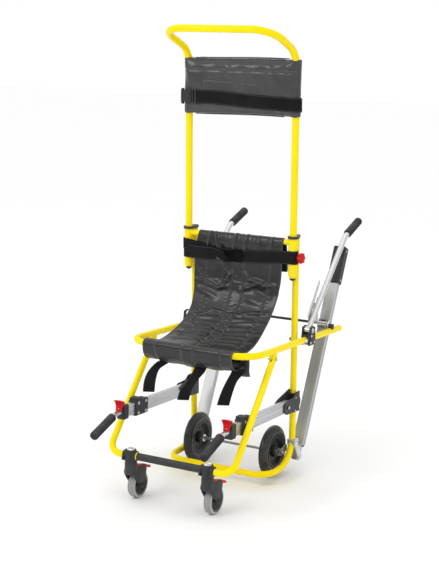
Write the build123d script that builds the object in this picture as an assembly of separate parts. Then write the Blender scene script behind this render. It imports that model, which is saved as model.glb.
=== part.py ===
"""Folding stair chair: yellow tube frame, vinyl sling, lifting handles, castors and a rear skid.

Millimetres, +Z up, the sitter faces -Y, +X is the sitter's left.  The origin is on the floor under
the middle of the chair's outline.  All Y values below are measured from the plane of the two
uprights, and BACK_Y moves that plane to its place behind the origin.
"""
from build123d import *
import math
import os

os.makedirs("parts", exist_ok=True)

# ---------------------------------------------------------------- driving dimensions
BACK_Y = 105.9             # the uprights' plane, behind the origin
TUBE_R = 12.5              # frame, seat and leg tubes
TUBE_WALL = 2.0
GAP = 0.05                 # radial running clearance of pins and slides

UPRIGHT_X = 222.0
UPRIGHT_TOP = 940.0
HOOP_TOP = 160.0           # where the straight uprights run into the bent lower hoop
HOOP_Z = 50.0
HOOP_FRONT = -213.0
HOOP_BEND = 110.0
HOOP_CORNER = 71.0

HANDLE_X = 227.0           # telescopic upper handle, in sleeves just before the uprights
HANDLE_Y = -38.0
HANDLE_R = 13.5
HANDLE_FOOT = 790.0
HANDLE_SHOULDER = 1626.0
HANDLE_TOP = 1713.0
HANDLE_REACH = -247.0
SLEEVE_R = 17.5
SLEEVE_FOOT = 797.0
CAP_HEIGHT = 9.0
KNOB_Z = 868.0

ARM_X = 260.0              # seat arms and front legs
ARM_Z = 541.0              # arm height at the uprights, where the seat pivots
ARM_SLOPE = 3.8            # degrees, front edge higher
SEAT_FRONT = -432.0
SEAT_CORNER = 92.0
ARM_BACK = 340.0

LEG_PIVOT = (-255.0, 528.0)
LEG_FOOT = (-566.0, 172.0)
LEG_BEND = 50.0

BAR_Y = -566.0             # front bar, castor housings and swivel axes
BAR_Z = 176.0
CASTOR_X = 162.0
CASTOR_TRAIL = 46.0
CASTOR_R = 51.5
CASTOR_WIDTH = 30.0
CHEEK_MIDDLE = 19.5        # fork cheeks, either side of the wheel

PROFILE_X = 226.0          # grooved side profiles between uprights and legs
PROFILE_HEIGHT = 45.0
PROFILE_WIDTH = 24.0
PROFILE_PIVOT = (-85.0, 293.0)
CLAMP_PIVOT = (-448.0, 316.0)
PROFILE_REACH = 425.0
CLAMP_BACK = 34.0          # from the leg pin back to the middle of the clamp
CLAMP_WIDTH = 36.0
CLAMP_LENGTH = 84.0
CLAMP_HEIGHT = 58.0
BORE_R = 9.55              # for the front lifting handles
FRONT_TUBE_R = 9.5
GRIP_R = 16.5

LIFT_X = 264.0             # rear lifting handles
LIFT_PIVOT = (34.0, 576.0)
LIFT_BEND = (366.0, 892.0)
LIFT_TIP = (500.0, 937.0)
LIFT_TUBE_R = 11.0

WHEEL_X = 167.0
WHEEL_Y = -63.0
WHEEL_R = 100.0
WHEEL_WIDTH = 38.0
AXLE_R = 5.0

SKID_X = 225.0
SKID_PIVOT = (33.0, 60.0)
SKID_SLOPE = 26.6          # degrees from upright
SKID_LENGTH = 850.0
FOOT_REACH = 46.0          # from the pivot to where the rail widens
RAIL_WIDTH = 44.0
RAIL_DEPTH = 28.0
FOOT_WIDTH = 22.0
FORK_HALF = 13.7
TIE_REACH = 538.0          # from the pivot to the tie rod
ROD_REACH = 247.2          # half the rod, so that the lifting handles swing past it

SLING_HALF = 185.0
SLING_THICK = 4.0
STRAP_WIDTH = 48.0
CROSSBAR_Z = 925.0


# ---------------------------------------------------------------- helpers
def save(node, *solids):
    """Write one sub-part, moved from the uprights' plane to its place behind the origin."""
    moved = [solid.moved(Location((0, BACK_Y, 0))) for solid in solids]
    bodies = [body for solid in moved for body in solid.solids()]
    export_step(bodies[0] if len(bodies) == 1 else Compound(children=bodies), f"parts/{node}.step")


def bar(start, end, radius, bore=0.0):
    """Round bar or pipe between two points."""
    a, b = Vector(*start), Vector(*end)
    section = Circle(radius) - Circle(bore) if bore else Circle(radius)
    return extrude(Plane(origin=a, z_dir=b - a) * section, (b - a).length)


def bent_pipe(points, radii, radius=TUBE_R, wall=TUBE_WALL):
    """Pipe along straight runs joined by arcs."""
    path = FilletPolyline(*points, radius=radii)
    start = Plane(origin=path @ 0, z_dir=path % 0)
    return sweep(start * (Circle(radius) - Circle(radius - wall)), path)


def bent_rod(points, radii, radius):
    """Solid round rod along straight runs joined by arcs."""
    path = FilletPolyline(*points, radius=radii)
    return sweep(Plane(origin=path @ 0, z_dir=path % 0) * Circle(radius), path)


def block(x, y, z, size_x, size_y, size_z, round_to=0.0):
    """Box about a centre, with its edges along X rounded."""
    solid = Pos(x, y, z) * Box(size_x, size_y, size_z)
    return fillet(solid.edges().filter_by(Axis.X), round_to) if round_to else solid


def plate(x, outline, thickness, round_to=0.0):
    """Plate of a Y-Z outline, centred on x."""
    face = Plane.YZ * Polygon(*outline, align=None)
    if round_to:
        face = fillet(face.vertices(), round_to)
    return Pos(x, 0, 0) * extrude(face, thickness / 2, both=True)


def link(x, a, b, radius, thickness):
    """Round-ended plate between two Y-Z points."""
    ends = [Pos(*point) * Circle(radius) for point in (a, b)]
    outline = Plane.YZ * make_hull(Sketch(children=ends).edges())
    return Pos(x, 0, 0) * extrude(outline, thickness / 2, both=True)


def pin(x_from, x_to, point, radius):
    """Pin along X through a Y-Z point."""
    return bar((x_from, *point), (x_to, *point), radius)


def tilted(x, point, degrees):
    """Frame at a Y-Z point whose local -Y runs forward and rises by the angle."""
    return Pos(x, *point) * Rot(-degrees, 0, 0)


def sheet(points, thickness, half_width, centre=0.0):
    """Sheet that follows a Y-Z line, of even thickness, centred on X."""
    run = [Vector(*point) for point in points]
    faces = []
    for side in (1, -1):
        shifted = []
        for i, point in enumerate(run):
            along = (run[min(i + 1, len(run) - 1)] - run[max(i - 1, 0)]).normalized()
            shifted.append(point + Vector(-along.Y, along.X) * (side * thickness / 2))
        faces.append(shifted)
    front, back = faces[0], faces[1][::-1]
    curve = Spline if len(run) > 2 else Line
    edges = curve(*front) + Line(front[-1], back[0]) + curve(*back) + Line(back[-1], front[0])
    return Pos(centre, 0, 0) * extrude(Plane.YZ * make_face(edges), half_width, both=True)


def arm_height(y):
    """Height of the seat arm's centre line."""
    return ARM_Z - y * math.tan(math.radians(ARM_SLOPE))


def on_rail(distance, outward=0.0):
    """Y-Z point along a skid rail from its pivot, and square to it."""
    lean = math.radians(SKID_SLOPE)
    y = SKID_PIVOT[0] + distance * math.sin(lean) + outward * math.cos(lean)
    return y, SKID_PIVOT[1] + distance * math.cos(lean) - outward * math.sin(lean)


TIE_AT = on_rail(TIE_REACH, -RAIL_DEPTH / 2 - 8.5)
PROFILE_RUN = (CLAMP_PIVOT[0] - PROFILE_PIVOT[0], CLAMP_PIVOT[1] - PROFILE_PIVOT[1])
PROFILE_SLOPE = math.degrees(math.atan2(PROFILE_RUN[1], -PROFILE_RUN[0]))
CLAMP_AT = math.hypot(*PROFILE_RUN)
SIDES = {"left": -1, "right": 1}


# ---------------------------------------------------------------- back frame
def upright(side):
    x = side * UPRIGHT_X
    tube = bar((x, 0, HOOP_TOP), (x, 0, UPRIGHT_TOP), TUBE_R, TUBE_R - TUBE_WALL)
    return tube - pin(-300, 300, (0, ARM_Z), 5)


def hoop_path():
    """Corners and bend radii of the bent tube below the uprights."""
    x = UPRIGHT_X
    corners = [(-x, 0, HOOP_TOP), (-x, 0, HOOP_Z), (-x, HOOP_FRONT, HOOP_Z)]
    corners += [(x, HOOP_FRONT, HOOP_Z), (x, 0, HOOP_Z), (x, 0, HOOP_TOP)]
    return corners, [HOOP_BEND - 0.5, HOOP_CORNER, HOOP_CORNER, HOOP_BEND - 0.5]


def sleeve(side):
    x = side * HANDLE_X
    tube = bar((x, HANDLE_Y, SLEEVE_FOOT), (x, HANDLE_Y, UPRIGHT_TOP), SLEEVE_R)
    web = Pos(side * 224.5, HANDLE_Y / 2, 870) * Box(8, -HANDLE_Y, 130)
    bore = bar((x, HANDLE_Y, SLEEVE_FOOT), (x, HANDLE_Y, UPRIGHT_TOP), HANDLE_R + GAP)
    tube = tube + web - bore - pin(HANDLE_X, HANDLE_X + 30, (HANDLE_Y, KNOB_Z), 4)
    return tube - bar((side * UPRIGHT_X, 0, 700), (side * UPRIGHT_X, 0, 1000), TUBE_R)


def sleeve_cap(side):
    outline = make_hull(Sketch(children=[Pos(side * HANDLE_X, HANDLE_Y) * Circle(21),
                                         Pos(side * UPRIGHT_X, 0) * Circle(15)]).edges())
    hole = Pos(side * HANDLE_X, HANDLE_Y) * Circle(HANDLE_R + GAP)
    return Pos(0, 0, UPRIGHT_TOP) * extrude(outline - hole, CAP_HEIGHT)


def crossbar():
    tube = bar((-213, HANDLE_Y, CROSSBAR_Z), (213, HANDLE_Y, CROSSBAR_Z), 11, 9)
    for side in SIDES.values():
        x = side * HANDLE_X
        tube -= bar((x, HANDLE_Y, 800), (x, HANDLE_Y, 1000), SLEEVE_R)
    return tube


def profile_bracket(side):
    """Two cheeks about the profile's end, joined behind and about the upright."""
    y, z = PROFILE_PIVOT
    outer = [(y - 6, z - 27), (15, z - 38), (15, z + 42), (-14, z + 42), (-40, z + 26), (y - 6, z + 27)]
    inner = [(y - 50, z + 25), (y - 14, z - 26), (15, z - 38)]
    inner += [(15, z + 42), (-14, z + 52), (y - 26, z + 34)]
    cheek_out = plate(side * 241, outer, 4.4) + link(side * 241, (y - 4, z), (-4, z), 27, 4.4)
    cheek_in = plate(side * 211, inner, 4.4)
    saddle = block(side * 226, 0, z, 30, 29, 72)
    clear = bar((side * UPRIGHT_X, 0, 100), (side * UPRIGHT_X, 0, 500), TUBE_R)
    bolt = pin(side * 206.5, side * 245.5, (y, z), 4.2)
    return cheek_out + cheek_in + saddle - clear - bolt


def bracket_bolt(side):
    """Bolt across the bracket's cheeks, clear of the profile's notched end."""
    y, z = PROFILE_PIVOT
    shank = pin(side * 206.6, side * 245.4, (y, z), 4.2)
    head = pin(side * 243.2, side * 246.2, (y, z), 7.5)
    return shank + head - pin(side * 213.5, side * 238.5, (y, z), 9)


def axle_plate(side):
    hub, tube = (WHEEL_Y, WHEEL_R), (-22, 106)
    solid = link(side * 206, hub, tube, 15, 5)
    return solid - pin(side * 200, side * 212, hub, AXLE_R)


def axle():
    return pin(-209, 209, (WHEEL_Y, WHEEL_R), AXLE_R)


def skid_bracket(side):
    """Clamp on the hoop's bend with a fork that carries the rail's pivot pin."""
    solid = Part()
    for x in (SKID_X - FORK_HALF, SKID_X + FORK_HALF):
        solid += link(side * x, SKID_PIVOT, (-4, 128), 13, 4.6)
    solid += block(side * SKID_X, 0, 130, 2 * FORK_HALF + 4.6, 34, 24, 5)
    solid -= bar((side * UPRIGHT_X, 0, HOOP_TOP - 2), (side * UPRIGHT_X, 0, 300), TUBE_R)
    solid -= bent_rod(*hoop_path(), TUBE_R)
    solid -= pin(side * 190, side * 260, SKID_PIVOT, 6)
    return solid


def skid_pin(side):
    return pin(side * 206, side * 244, SKID_PIVOT, 6)


save("uprights", *[upright(side) for side in SIDES.values()])
save("lower_hoop", bent_pipe(*hoop_path()))
save("handle_sleeves", *[sleeve(side) for side in SIDES.values()])
save("sleeve_caps", *[sleeve_cap(side) for side in SIDES.values()])
save("sling_crossbar", crossbar())
save("profile_brackets", *[make(side) for make in (profile_bracket, bracket_bolt)
                           for side in SIDES.values()])
save("rear_axle", axle(), *[axle_plate(side) for side in SIDES.values()])
save("skid_brackets", *[make(side) for make in (skid_bracket, skid_pin) for side in SIDES.values()])


# ---------------------------------------------------------------- soft parts on the back frame
MIDDLE_LINE = [(-68, 704), (-112, 640), (-190, 597), (-299, 571)]


def back_sling():
    """Sewn loop about the crossbar, and the sheet that hangs from it."""
    loop = pin(-SLING_HALF, SLING_HALF, (HANDLE_Y, CROSSBAR_Z), 15) \
        - pin(-SLING_HALF, SLING_HALF, (HANDLE_Y, CROSSBAR_Z), 11.3)
    hanging = sheet([(-51, 922), (-46, 860), (-47, 790), (-68, 705)], SLING_THICK, SLING_HALF)
    return loop + hanging


def chest_strap():
    """Webbing laid across the sleeves and round the outside of each."""
    front, height, thick = HANDLE_Y - SLEEVE_R - 2.5, 44, 2.0
    solid = Pos(0, front - 4, KNOB_Z) * Box(2 * HANDLE_X, thick, height)
    for side in SIDES.values():
        x = side * HANDLE_X
        low, high = KNOB_Z - height / 2, KNOB_Z + height / 2
        ring = bar((x, HANDLE_Y, low), (x, HANDLE_Y, high), SLEEVE_R + 2.4, SLEEVE_R + 0.3)
        ring -= Pos(side * (HANDLE_X - 12), HANDLE_Y + 17, KNOB_Z) * Box(34, 22, 60)
        solid += ring
        solid += Pos(side * (HANDLE_X - 8), front - 1.5, KNOB_Z) * Box(16, 7, height)
    for side in SIDES.values():
        x = side * HANDLE_X
        solid -= bar((x, HANDLE_Y, 800), (x, HANDLE_Y, 960), SLEEVE_R + 0.3)
    return solid - pin(HANDLE_X, HANDLE_X + 30, (HANDLE_Y, KNOB_Z), 4.5)


save("back_sling", back_sling())
save("sling_middle", sheet(MIDDLE_LINE, SLING_THICK, SLING_HALF))
save("chest_strap", chest_strap())


# ---------------------------------------------------------------- upper handle
def handle_path():
    """Corners and bend radii of the upper handle: up, then forward to the grip bar."""
    x, y = HANDLE_X, HANDLE_Y
    top = (HANDLE_REACH, HANDLE_TOP)
    corners = [(-x, y, HANDLE_FOOT), (-x, y, HANDLE_SHOULDER), (-x, *top), (x, *top)]
    corners += [(x, y, HANDLE_SHOULDER), (x, y, HANDLE_FOOT)]
    return corners, [95, 88, 88, 95]


def foot_plug(side):
    x = side * HANDLE_X
    lower_half = Pos(x, HANDLE_Y, HANDLE_FOOT - 8) * Box(60, 60, 16)
    return Pos(x, HANDLE_Y, HANDLE_FOOT) * Sphere(HANDLE_R - 1) & lower_half


def headrest():
    """Padded cover wrapped round both handle tubes."""
    outline = make_hull(Sketch(children=[Pos(side * HANDLE_X, HANDLE_Y) * Circle(28)
                                         for side in SIDES.values()]).edges())
    return Pos(0, 0, 1388) * extrude(outline, 222) - bent_rod(*handle_path(), HANDLE_R + 0.3)


def headrest_strap():
    return Pos(20, HANDLE_Y - 29.4, 1450) * Box(400, 2.2, 40)


def headrest_buckle():
    body = Pos(-213, HANDLE_Y - 32.5, 1455) * Box(62, 8, 52)
    return fillet(body.edges().filter_by(Axis.Y), 8)


save("upper_handle", bent_pipe(*handle_path(), HANDLE_R))
save("handle_plugs", *[foot_plug(side) for side in SIDES.values()])
save("headrest", headrest())
save("headrest_strap", headrest_strap())
save("headrest_buckle", headrest_buckle())


# ---------------------------------------------------------------- lock knob
def lock_knob():
    start = HANDLE_X + SLEEVE_R + 3.2
    lobes = Circle(13)
    for i in range(6):
        lobes += Rot(0, 0, 60 * i) * Pos(12, 0) * Circle(5.5)
    head = extrude(Plane(origin=(start, HANDLE_Y, KNOB_Z), z_dir=(1, 0, 0)) * lobes, 20)
    return head + pin(HANDLE_X + HANDLE_R + 0.4, start, (HANDLE_Y, KNOB_Z), 4)


# ---------------------------------------------------------------- seat frame
def seat_path():
    """Corners and bend radii of the seat tube, open at the back."""
    x = ARM_X
    corners = [(-x, ARM_BACK, arm_height(ARM_BACK)), (-x, SEAT_FRONT, arm_height(SEAT_FRONT))]
    corners += [(x, SEAT_FRONT, arm_height(SEAT_FRONT)), (x, ARM_BACK, arm_height(ARM_BACK))]
    return corners, [SEAT_CORNER, SEAT_CORNER]


def seat_frame():
    return bent_pipe(*seat_path()) - pin(-300, 300, (0, ARM_Z), 5 + GAP)


def seat_bolts(side):
    """Pivot bolt from inside the upright through the arm, with a domed head and a nut."""
    point = (0, ARM_Z)
    shank = pin(side * 205, side * 277, point, 5)
    return shank + pin(side * 203, side * 209, point, 8) + pin(side * 273, side * 278, point, 8.5)


def seat_sling():
    """Flat seat panel, the padded roll about the front tube and the hem below it."""
    y, z = SEAT_FRONT, arm_height(SEAT_FRONT)
    panel = sheet([(-300, 571), (-370, 573), (y + 4, z + 17)], SLING_THICK, SLING_HALF)
    roll = pin(-SLING_HALF, SLING_HALF, (y, z), 18) - pin(-SLING_HALF, SLING_HALF, (y, z), 12.8)
    hem = sheet([(y - 15.5, z - 2), (y - 10, z - 40), (y + 22, z - 66), (y + 60, z - 60)], 4, SLING_HALF)
    lower = sheet([(y + 60, z - 60), (-350, 520), (-300, 545)], 4, SLING_HALF)
    return panel + roll + hem + lower - bent_rod(*seat_path(), TUBE_R + 0.6)


def hanging_strap(x, drift, lean, back=40.0):
    """Webbing end that hangs from the hem, swept a little to one side."""
    top, y = 493.0, SEAT_FRONT + back
    line = Spline((x, y, top), (x + drift * 0.3, y - lean * 0.5, top - 45),
                  (x + drift, y - lean, top - 118))
    section = Plane(origin=(x, y, top), x_dir=(1, 0, 0), z_dir=line % 0) * Rectangle(STRAP_WIDTH, 2.2)
    return sweep(section, line)


def handle_bracket(side):
    """Block clamped on the arm with two ears for the lifting handle."""
    y, z = LIFT_PIVOT
    outline = [(y - 27, 520), (y + 30, 517), (y + 26, z + 8), (y + 8, z + 17), (y - 16, z + 14)]
    ears = Part()
    for x in (LIFT_X - 15.5, LIFT_X + 15.5):
        ears += plate(side * x, outline, 6, 4)
    body = block(side * (ARM_X + 4), y + 2, arm_height(y) + 2, 37, 50, 38, 6)
    core = bar((side * ARM_X, -100, arm_height(-100)), (side * ARM_X, 200, arm_height(200)), TUBE_R)
    return ears + body - core - pin(side * 240, side * 290, LIFT_PIVOT, 5 + GAP)


def rod_rest(side):
    """Moulded rest on the arm's top, level with the end of the skid's tie rod."""
    x, y = side * ARM_X, TIE_AT[0]
    rest = block(side * 262.5, y, arm_height(y) + 19, 19, 16, 20, 3)
    return rest - bar((x, 0, arm_height(0)), (x, ARM_BACK, arm_height(ARM_BACK)), TUBE_R)


def leg_hanger(side):
    """Tab welded under the arm; the leg's forked top turns on it."""
    y, z = LEG_PIVOT
    tab = link(side * ARM_X, (y, z), (y, arm_height(y)), 9, 6)
    core = bar((side * ARM_X, -400, arm_height(-400)), (side * ARM_X, 0, arm_height(0)), TUBE_R)
    return tab - core - pin(side * 240, side * 280, (y, z), 4 + GAP)


save("lock_knob", lock_knob())
save("seat_frame", seat_frame())
save("seat_bolts", *[seat_bolts(side) for side in SIDES.values()])
save("seat_sling", seat_sling())
save("hanging_straps", hanging_strap(-92, -60, 20), hanging_strap(44, -55, 10),
     hanging_strap(174, -44, 28, 62))
save("handle_brackets", *[make(side) for make in (handle_bracket, rod_rest) for side in SIDES.values()])
save("leg_hangers", *[leg_hanger(side) for side in SIDES.values()])


# ---------------------------------------------------------------- rear lifting handles
def lift_path(side):
    x = side * LIFT_X
    return [(x, *LIFT_PIVOT), (x, *LIFT_BEND), (x, *LIFT_TIP)], [60]


def lift_handle(side):
    """Tube that turns on a pin between the bracket's ears."""
    pipe = bent_pipe(*lift_path(side), LIFT_TUBE_R, 1.8)
    eye = pin(side * (LIFT_X - 11.8), side * (LIFT_X + 11.8), LIFT_PIVOT, 13)
    pivot = pin(side * (LIFT_X - 23), side * (LIFT_X + 23), LIFT_PIVOT, 5)
    return pipe + eye + pivot


def lift_grip(side):
    (x, *bend), (_, *tip) = lift_path(side)[0][1:]
    run = Vector(*tip) - Vector(*bend)
    start = Vector(*bend) + run.normalized() * 22
    end = Vector(*tip) + run.normalized() * 4
    grip = bar((x, start.X, start.Y), (x, end.X, end.Y), GRIP_R)
    return fillet(grip.edges(), 5) - bent_rod(*lift_path(side), LIFT_TUBE_R)


def lift_lever(side):
    """Flat slotted release lever on the handle tube's inner face."""
    x = side * (LIFT_X - 14.0)
    lever = plate(x, [(58, 603), (74, 610), (160, 738), (152, 752), (138, 732), (55, 622)], 3, 3)
    slot = plate(x, [(110, 680), (118, 676), (142, 712), (134, 716)], 5, 2)
    return lever - slot + pin(side * (LIFT_X - 15.5), side * (LIFT_X - 11.3), (64, 612), 4)


for name, side in SIDES.items():
    save(f"lift_handle_{name}", lift_handle(side))
    save(f"lift_grip_{name}", lift_grip(side))
    save(f"lift_lever_{name}", lift_lever(side))


# ---------------------------------------------------------------- front legs
def leg_path(side):
    x = side * ARM_X
    run = Vector(*LEG_FOOT) - Vector(*LEG_PIVOT)
    top = Vector(*LEG_PIVOT) - run.normalized() * 4
    return [(x, top.X, top.Y), (x, *LEG_FOOT), (side * (CASTOR_X + 28.2), BAR_Y, BAR_Z)], [LEG_BEND]


def leg(side):
    """Leg tube with a slotted top that straddles the arm's tab."""
    y, z = LEG_PIVOT
    pipe = bent_pipe(*leg_path(side))
    slot = block(side * ARM_X, y, z, 7, 42, 60)
    return pipe - slot - pin(side * (ARM_X - 14), side * (ARM_X + 14), (y, z), 4.3)


def leg_bolt(side):
    shank = pin(side * (ARM_X - 15), side * (ARM_X + 15), LEG_PIVOT, 4)
    head = pin(side * (ARM_X - 18), side * (ARM_X - 13), LEG_PIVOT, 7)
    return shank + head + pin(side * (ARM_X + 13), side * (ARM_X + 17), LEG_PIVOT, 7)


def housing(side):
    """Cast socket that joins leg, front bar and castor stem."""
    x = side * CASTOR_X
    upright_boss = bar((x, BAR_Y, 154), (x, BAR_Y, 199), 23)
    socket = bar((x - 27, BAR_Y, BAR_Z), (x + 27, BAR_Y, BAR_Z), 18.5)
    return upright_boss + socket - bar((x, BAR_Y, 140), (x, BAR_Y, 190), 8 + GAP)


def housing_cap(side):
    x = side * CASTOR_X
    disc = bar((x, BAR_Y, 199), (x, BAR_Y, 205), 15)
    return fillet(disc.edges().group_by(Axis.Z)[-1], 3)


def front_bar():
    reach = CASTOR_X - 27
    return bar((-reach, BAR_Y, BAR_Z), (reach, BAR_Y, BAR_Z), 14, 9)


save("legs", *[leg(side) for side in SIDES.values()])
save("leg_bolts", *[leg_bolt(side) for side in SIDES.values()])
save("castor_housings", *[make(side) for make in (housing, housing_cap) for side in SIDES.values()])
save("front_bar", front_bar())


# ---------------------------------------------------------------- side profiles and their clamps
def profile_frame(side, distance=0.0):
    """Local frame on a profile's axis: -Y runs forward along it."""
    return tilted(side * PROFILE_X, PROFILE_PIVOT, PROFILE_SLOPE) * Pos(0, -distance, 0)


def side_profile(side):
    """Extruded bar with a round bore and two grooves in each face."""
    start, end = -22.0, PROFILE_REACH
    length, middle = end - start, (start + end) / 2
    frame = profile_frame(side, middle)
    solid = frame * Box(PROFILE_WIDTH, length, PROFILE_HEIGHT)
    solid = fillet(solid.edges().filter_by(lambda edge: edge.length > length - 1), 3)
    for face in (-1, 1):
        for height in (-11, 11):
            solid -= frame * Pos(face * PROFILE_WIDTH / 2, 0, height) * Box(2.4, length + 2, 5)
    return solid - profile_frame(side, middle + 60) * Rot(90, 0, 0) * Cylinder(BORE_R, length)


def profile_collar(side):
    """End collar pushed over the profile, with the lifting handle's exit."""
    frame = profile_frame(side, PROFILE_REACH - 7 + 17)
    solid = fillet((frame * Box(34, 34, 55)).edges(), 5)
    pocket = profile_frame(side, PROFILE_REACH - 20) * Box(PROFILE_WIDTH, 40, PROFILE_HEIGHT)
    return solid - pocket - profile_frame(side, PROFILE_REACH) * Rot(90, 0, 0) * Cylinder(BORE_R, 90)


def clamp(side):
    """Block round the profile just behind the leg, with the boss that turns on the leg."""
    frame = profile_frame(side, CLAMP_AT - CLAMP_BACK)
    solid = fillet((frame * Box(CLAMP_WIDTH, CLAMP_LENGTH, CLAMP_HEIGHT)).edges(), 3)
    solid += frame * Pos(0, -20, CLAMP_HEIGHT / 2 + 1) * Box(CLAMP_WIDTH - 4, 34, 16)
    solid += pin(side * (PROFILE_X + 17), side * (ARM_X - TUBE_R - 0.3), CLAMP_PIVOT, 9)
    return solid - frame * Box(PROFILE_WIDTH + 0.6, CLAMP_LENGTH + 10, PROFILE_HEIGHT + 0.6)


save("side_profiles", *[side_profile(side) for side in SIDES.values()])
save("profile_collars", *[profile_collar(side) for side in SIDES.values()])
save("profile_clamps", *[clamp(side) for side in SIDES.values()])


# ---------------------------------------------------------------- front lifting handles
def front_point(side, distance, height=0.0):
    place = profile_frame(side, distance) * Pos(0, 0, height)
    return tuple(place.position)


def front_path(side):
    x = side * PROFILE_X
    return [front_point(side, 130), front_point(side, 488), (x, -712, 279)], [40]


def front_handle(side):
    return bent_pipe(*front_path(side), FRONT_TUBE_R, 1.8)


def front_grip(side):
    x, y, z = front_path(side)[0][2]
    run = (Vector(x, y, z) - Vector(*front_point(side, 488))).normalized()
    end = Vector(x, y, z) + run * 4
    start = end - run * 134
    grip = bar(tuple(start), tuple(end), GRIP_R)
    return fillet(grip.edges(), 5) - bent_rod(*front_path(side), FRONT_TUBE_R)


def front_lever(side):
    """Red thumb lever that stands on the collar's nose."""
    frame = profile_frame(side, PROFILE_REACH + 38)
    stem = frame * Pos(0, 0, 24) * Box(14, 16, 26)
    paddle = frame * Pos(0, -6, 42) * Rot(-20, 0, 0) * Box(34, 34, 9)
    _, *pivot = front_point(side, PROFILE_REACH + 38, 14)
    hinge = pin(side * (PROFILE_X - 9), side * (PROFILE_X + 9), pivot, 3)
    return stem + fillet(paddle.edges(), 3) + hinge


for name, side in SIDES.items():
    save(f"front_handle_{name}", front_handle(side))
    save(f"front_grip_{name}", front_grip(side))
    save(f"front_lever_{name}", front_lever(side))


# ---------------------------------------------------------------- skid
def rail_frame(side, distance):
    """Local frame on a rail: +Z runs up along it and +Y is its outer, rear face."""
    return tilted(side * SKID_X, on_rail(distance), SKID_SLOPE)


def skid_rail(side):
    """Extruded rail, grooved along both edges, that turns on the pin in its foot."""
    solid = rail_frame(side, SKID_LENGTH / 2 - 8) * Box(FOOT_WIDTH, RAIL_DEPTH, SKID_LENGTH + 16)
    middle = (SKID_LENGTH + FOOT_REACH) / 2
    solid += rail_frame(side, middle) * Box(RAIL_WIDTH, RAIL_DEPTH, SKID_LENGTH - FOOT_REACH)
    for face in (-1, 1):
        at = rail_frame(side, middle) * Pos(face * RAIL_WIDTH / 2, 0, 0)
        solid -= at * Box(3, 8, SKID_LENGTH)
    return solid - pin(side * 190, side * 260, SKID_PIVOT, 6 + GAP)


def skid_strip(side):
    """Glide strip along the rail's rear face."""
    return rail_frame(side, 440) * Pos(0, RAIL_DEPTH / 2 + 2.5, 0) * Box(30, 5, 800)


def rail_cover(side):
    """Moulded sleeve closed at the top."""
    at = rail_frame(side, SKID_LENGTH - 60) * Pos(0, 1, 0)
    shell = fillet((at * Box(RAIL_WIDTH + 8, RAIL_DEPTH + 14, 156)).edges(), 6)
    core = rail_frame(side, SKID_LENGTH / 2 - 8) * Box(RAIL_WIDTH, RAIL_DEPTH, SKID_LENGTH + 16)
    return shell - core - rail_frame(side, 440) * Pos(0, RAIL_DEPTH / 2 + 2.5, 0) * Box(30, 5, 800)


def tie_rod():
    """Rod between the rails, its ends over the rests on the seat arms."""
    return pin(-ROD_REACH, ROD_REACH, TIE_AT, 4)


def rod_collar(side):
    """Saddle on the rail's front face that holds the tie rod and the release lever."""
    boss = pin(side * 200, side * 246, TIE_AT, 8)
    foot = rail_frame(side, TIE_REACH) * Pos(0, -RAIL_DEPTH / 2 - 4, 0) * Box(RAIL_WIDTH, 8, 34)
    return boss + foot - pin(side * 190, side * 260, TIE_AT, 4)


def skid_lever(side):
    """Flat slotted release lever beside the rod collar."""
    y, z = TIE_AT
    x = side * 197.0
    outline = [(y - 7, z - 4), (y + 7, z - 4), (y + 14, z + 60), (y + 2, z + 108), (y - 12, z + 84)]
    return plate(x, outline, 3, 2) - pin(side * 190, side * 204, TIE_AT, 4 + GAP)


save("skid_rails", *[skid_rail(side) for side in SIDES.values()])
save("skid_strips", *[skid_strip(side) for side in SIDES.values()])
save("rail_covers", *[rail_cover(side) for side in SIDES.values()])
save("tie_rod", tie_rod(), *[rod_collar(side) for side in SIDES.values()])
for name, side in SIDES.items():
    save(f"skid_lever_{name}", skid_lever(side))


# ---------------------------------------------------------------- rear wheels
def rear_tyre(side):
    section = Pos(82, 0) * Rectangle(36, WHEEL_WIDTH)
    section = fillet(section.vertices(), 14)
    ring = revolve(Plane.XZ * section, Axis.Z)
    return Pos(side * WHEEL_X, WHEEL_Y, WHEEL_R) * Rot(0, 90, 0) * ring


def rear_rim(side):
    """Dished rim with the steel hub tube that spaces it on the axle."""
    at = Pos(side * WHEEL_X, WHEEL_Y, WHEEL_R) * Rot(0, 90, 0)
    rim = Cylinder(63.8, 34) - Pos(0, 0, 14) * Cylinder(56, 12) - Pos(0, 0, -14) * Cylinder(56, 12)
    hub = Cylinder(21, 40) + Cylinder(12, 62)
    return at * (rim + hub - Cylinder(AXLE_R + GAP, 100))


for name, side in SIDES.items():
    save(f"rear_tyre_{name}", rear_tyre(side))
    save(f"rear_rim_{name}", rear_rim(side))

# ---------------------------------------------------------------- swivel castors
CASTOR_AXLE = (BAR_Y + CASTOR_TRAIL, CASTOR_R)


def castor_fork(side):
    """Swivel head and trailing fork with its stem and axle bolt."""
    x = side * CASTOR_X
    stem = bar((x, BAR_Y, 130), (x, BAR_Y, 188), 8)
    head = bar((x, BAR_Y, 124), (x, BAR_Y, 151), 23)
    cheeks = Part()
    for offset in (-CHEEK_MIDDLE, CHEEK_MIDDLE):
        cheeks += link(x + offset, CASTOR_AXLE, (BAR_Y + 6, 126), 15, 4)
    bridge = block(x, BAR_Y + 10, 122, 2 * CHEEK_MIDDLE + 4, 42, 18, 6)
    bolt = pin(x - CHEEK_MIDDLE - 4.5, x + CHEEK_MIDDLE + 4.5, CASTOR_AXLE, 4)
    return stem + head + cheeks + bridge + bolt


def castor_tyre(side):
    section = Pos(CASTOR_R - 7, 0) * Rectangle(14, CASTOR_WIDTH)
    ring = revolve(Plane.XZ * fillet(section.vertices(), 5.5), Axis.Z)
    return Pos(side * CASTOR_X, *CASTOR_AXLE) * Rot(0, 90, 0) * ring


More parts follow.
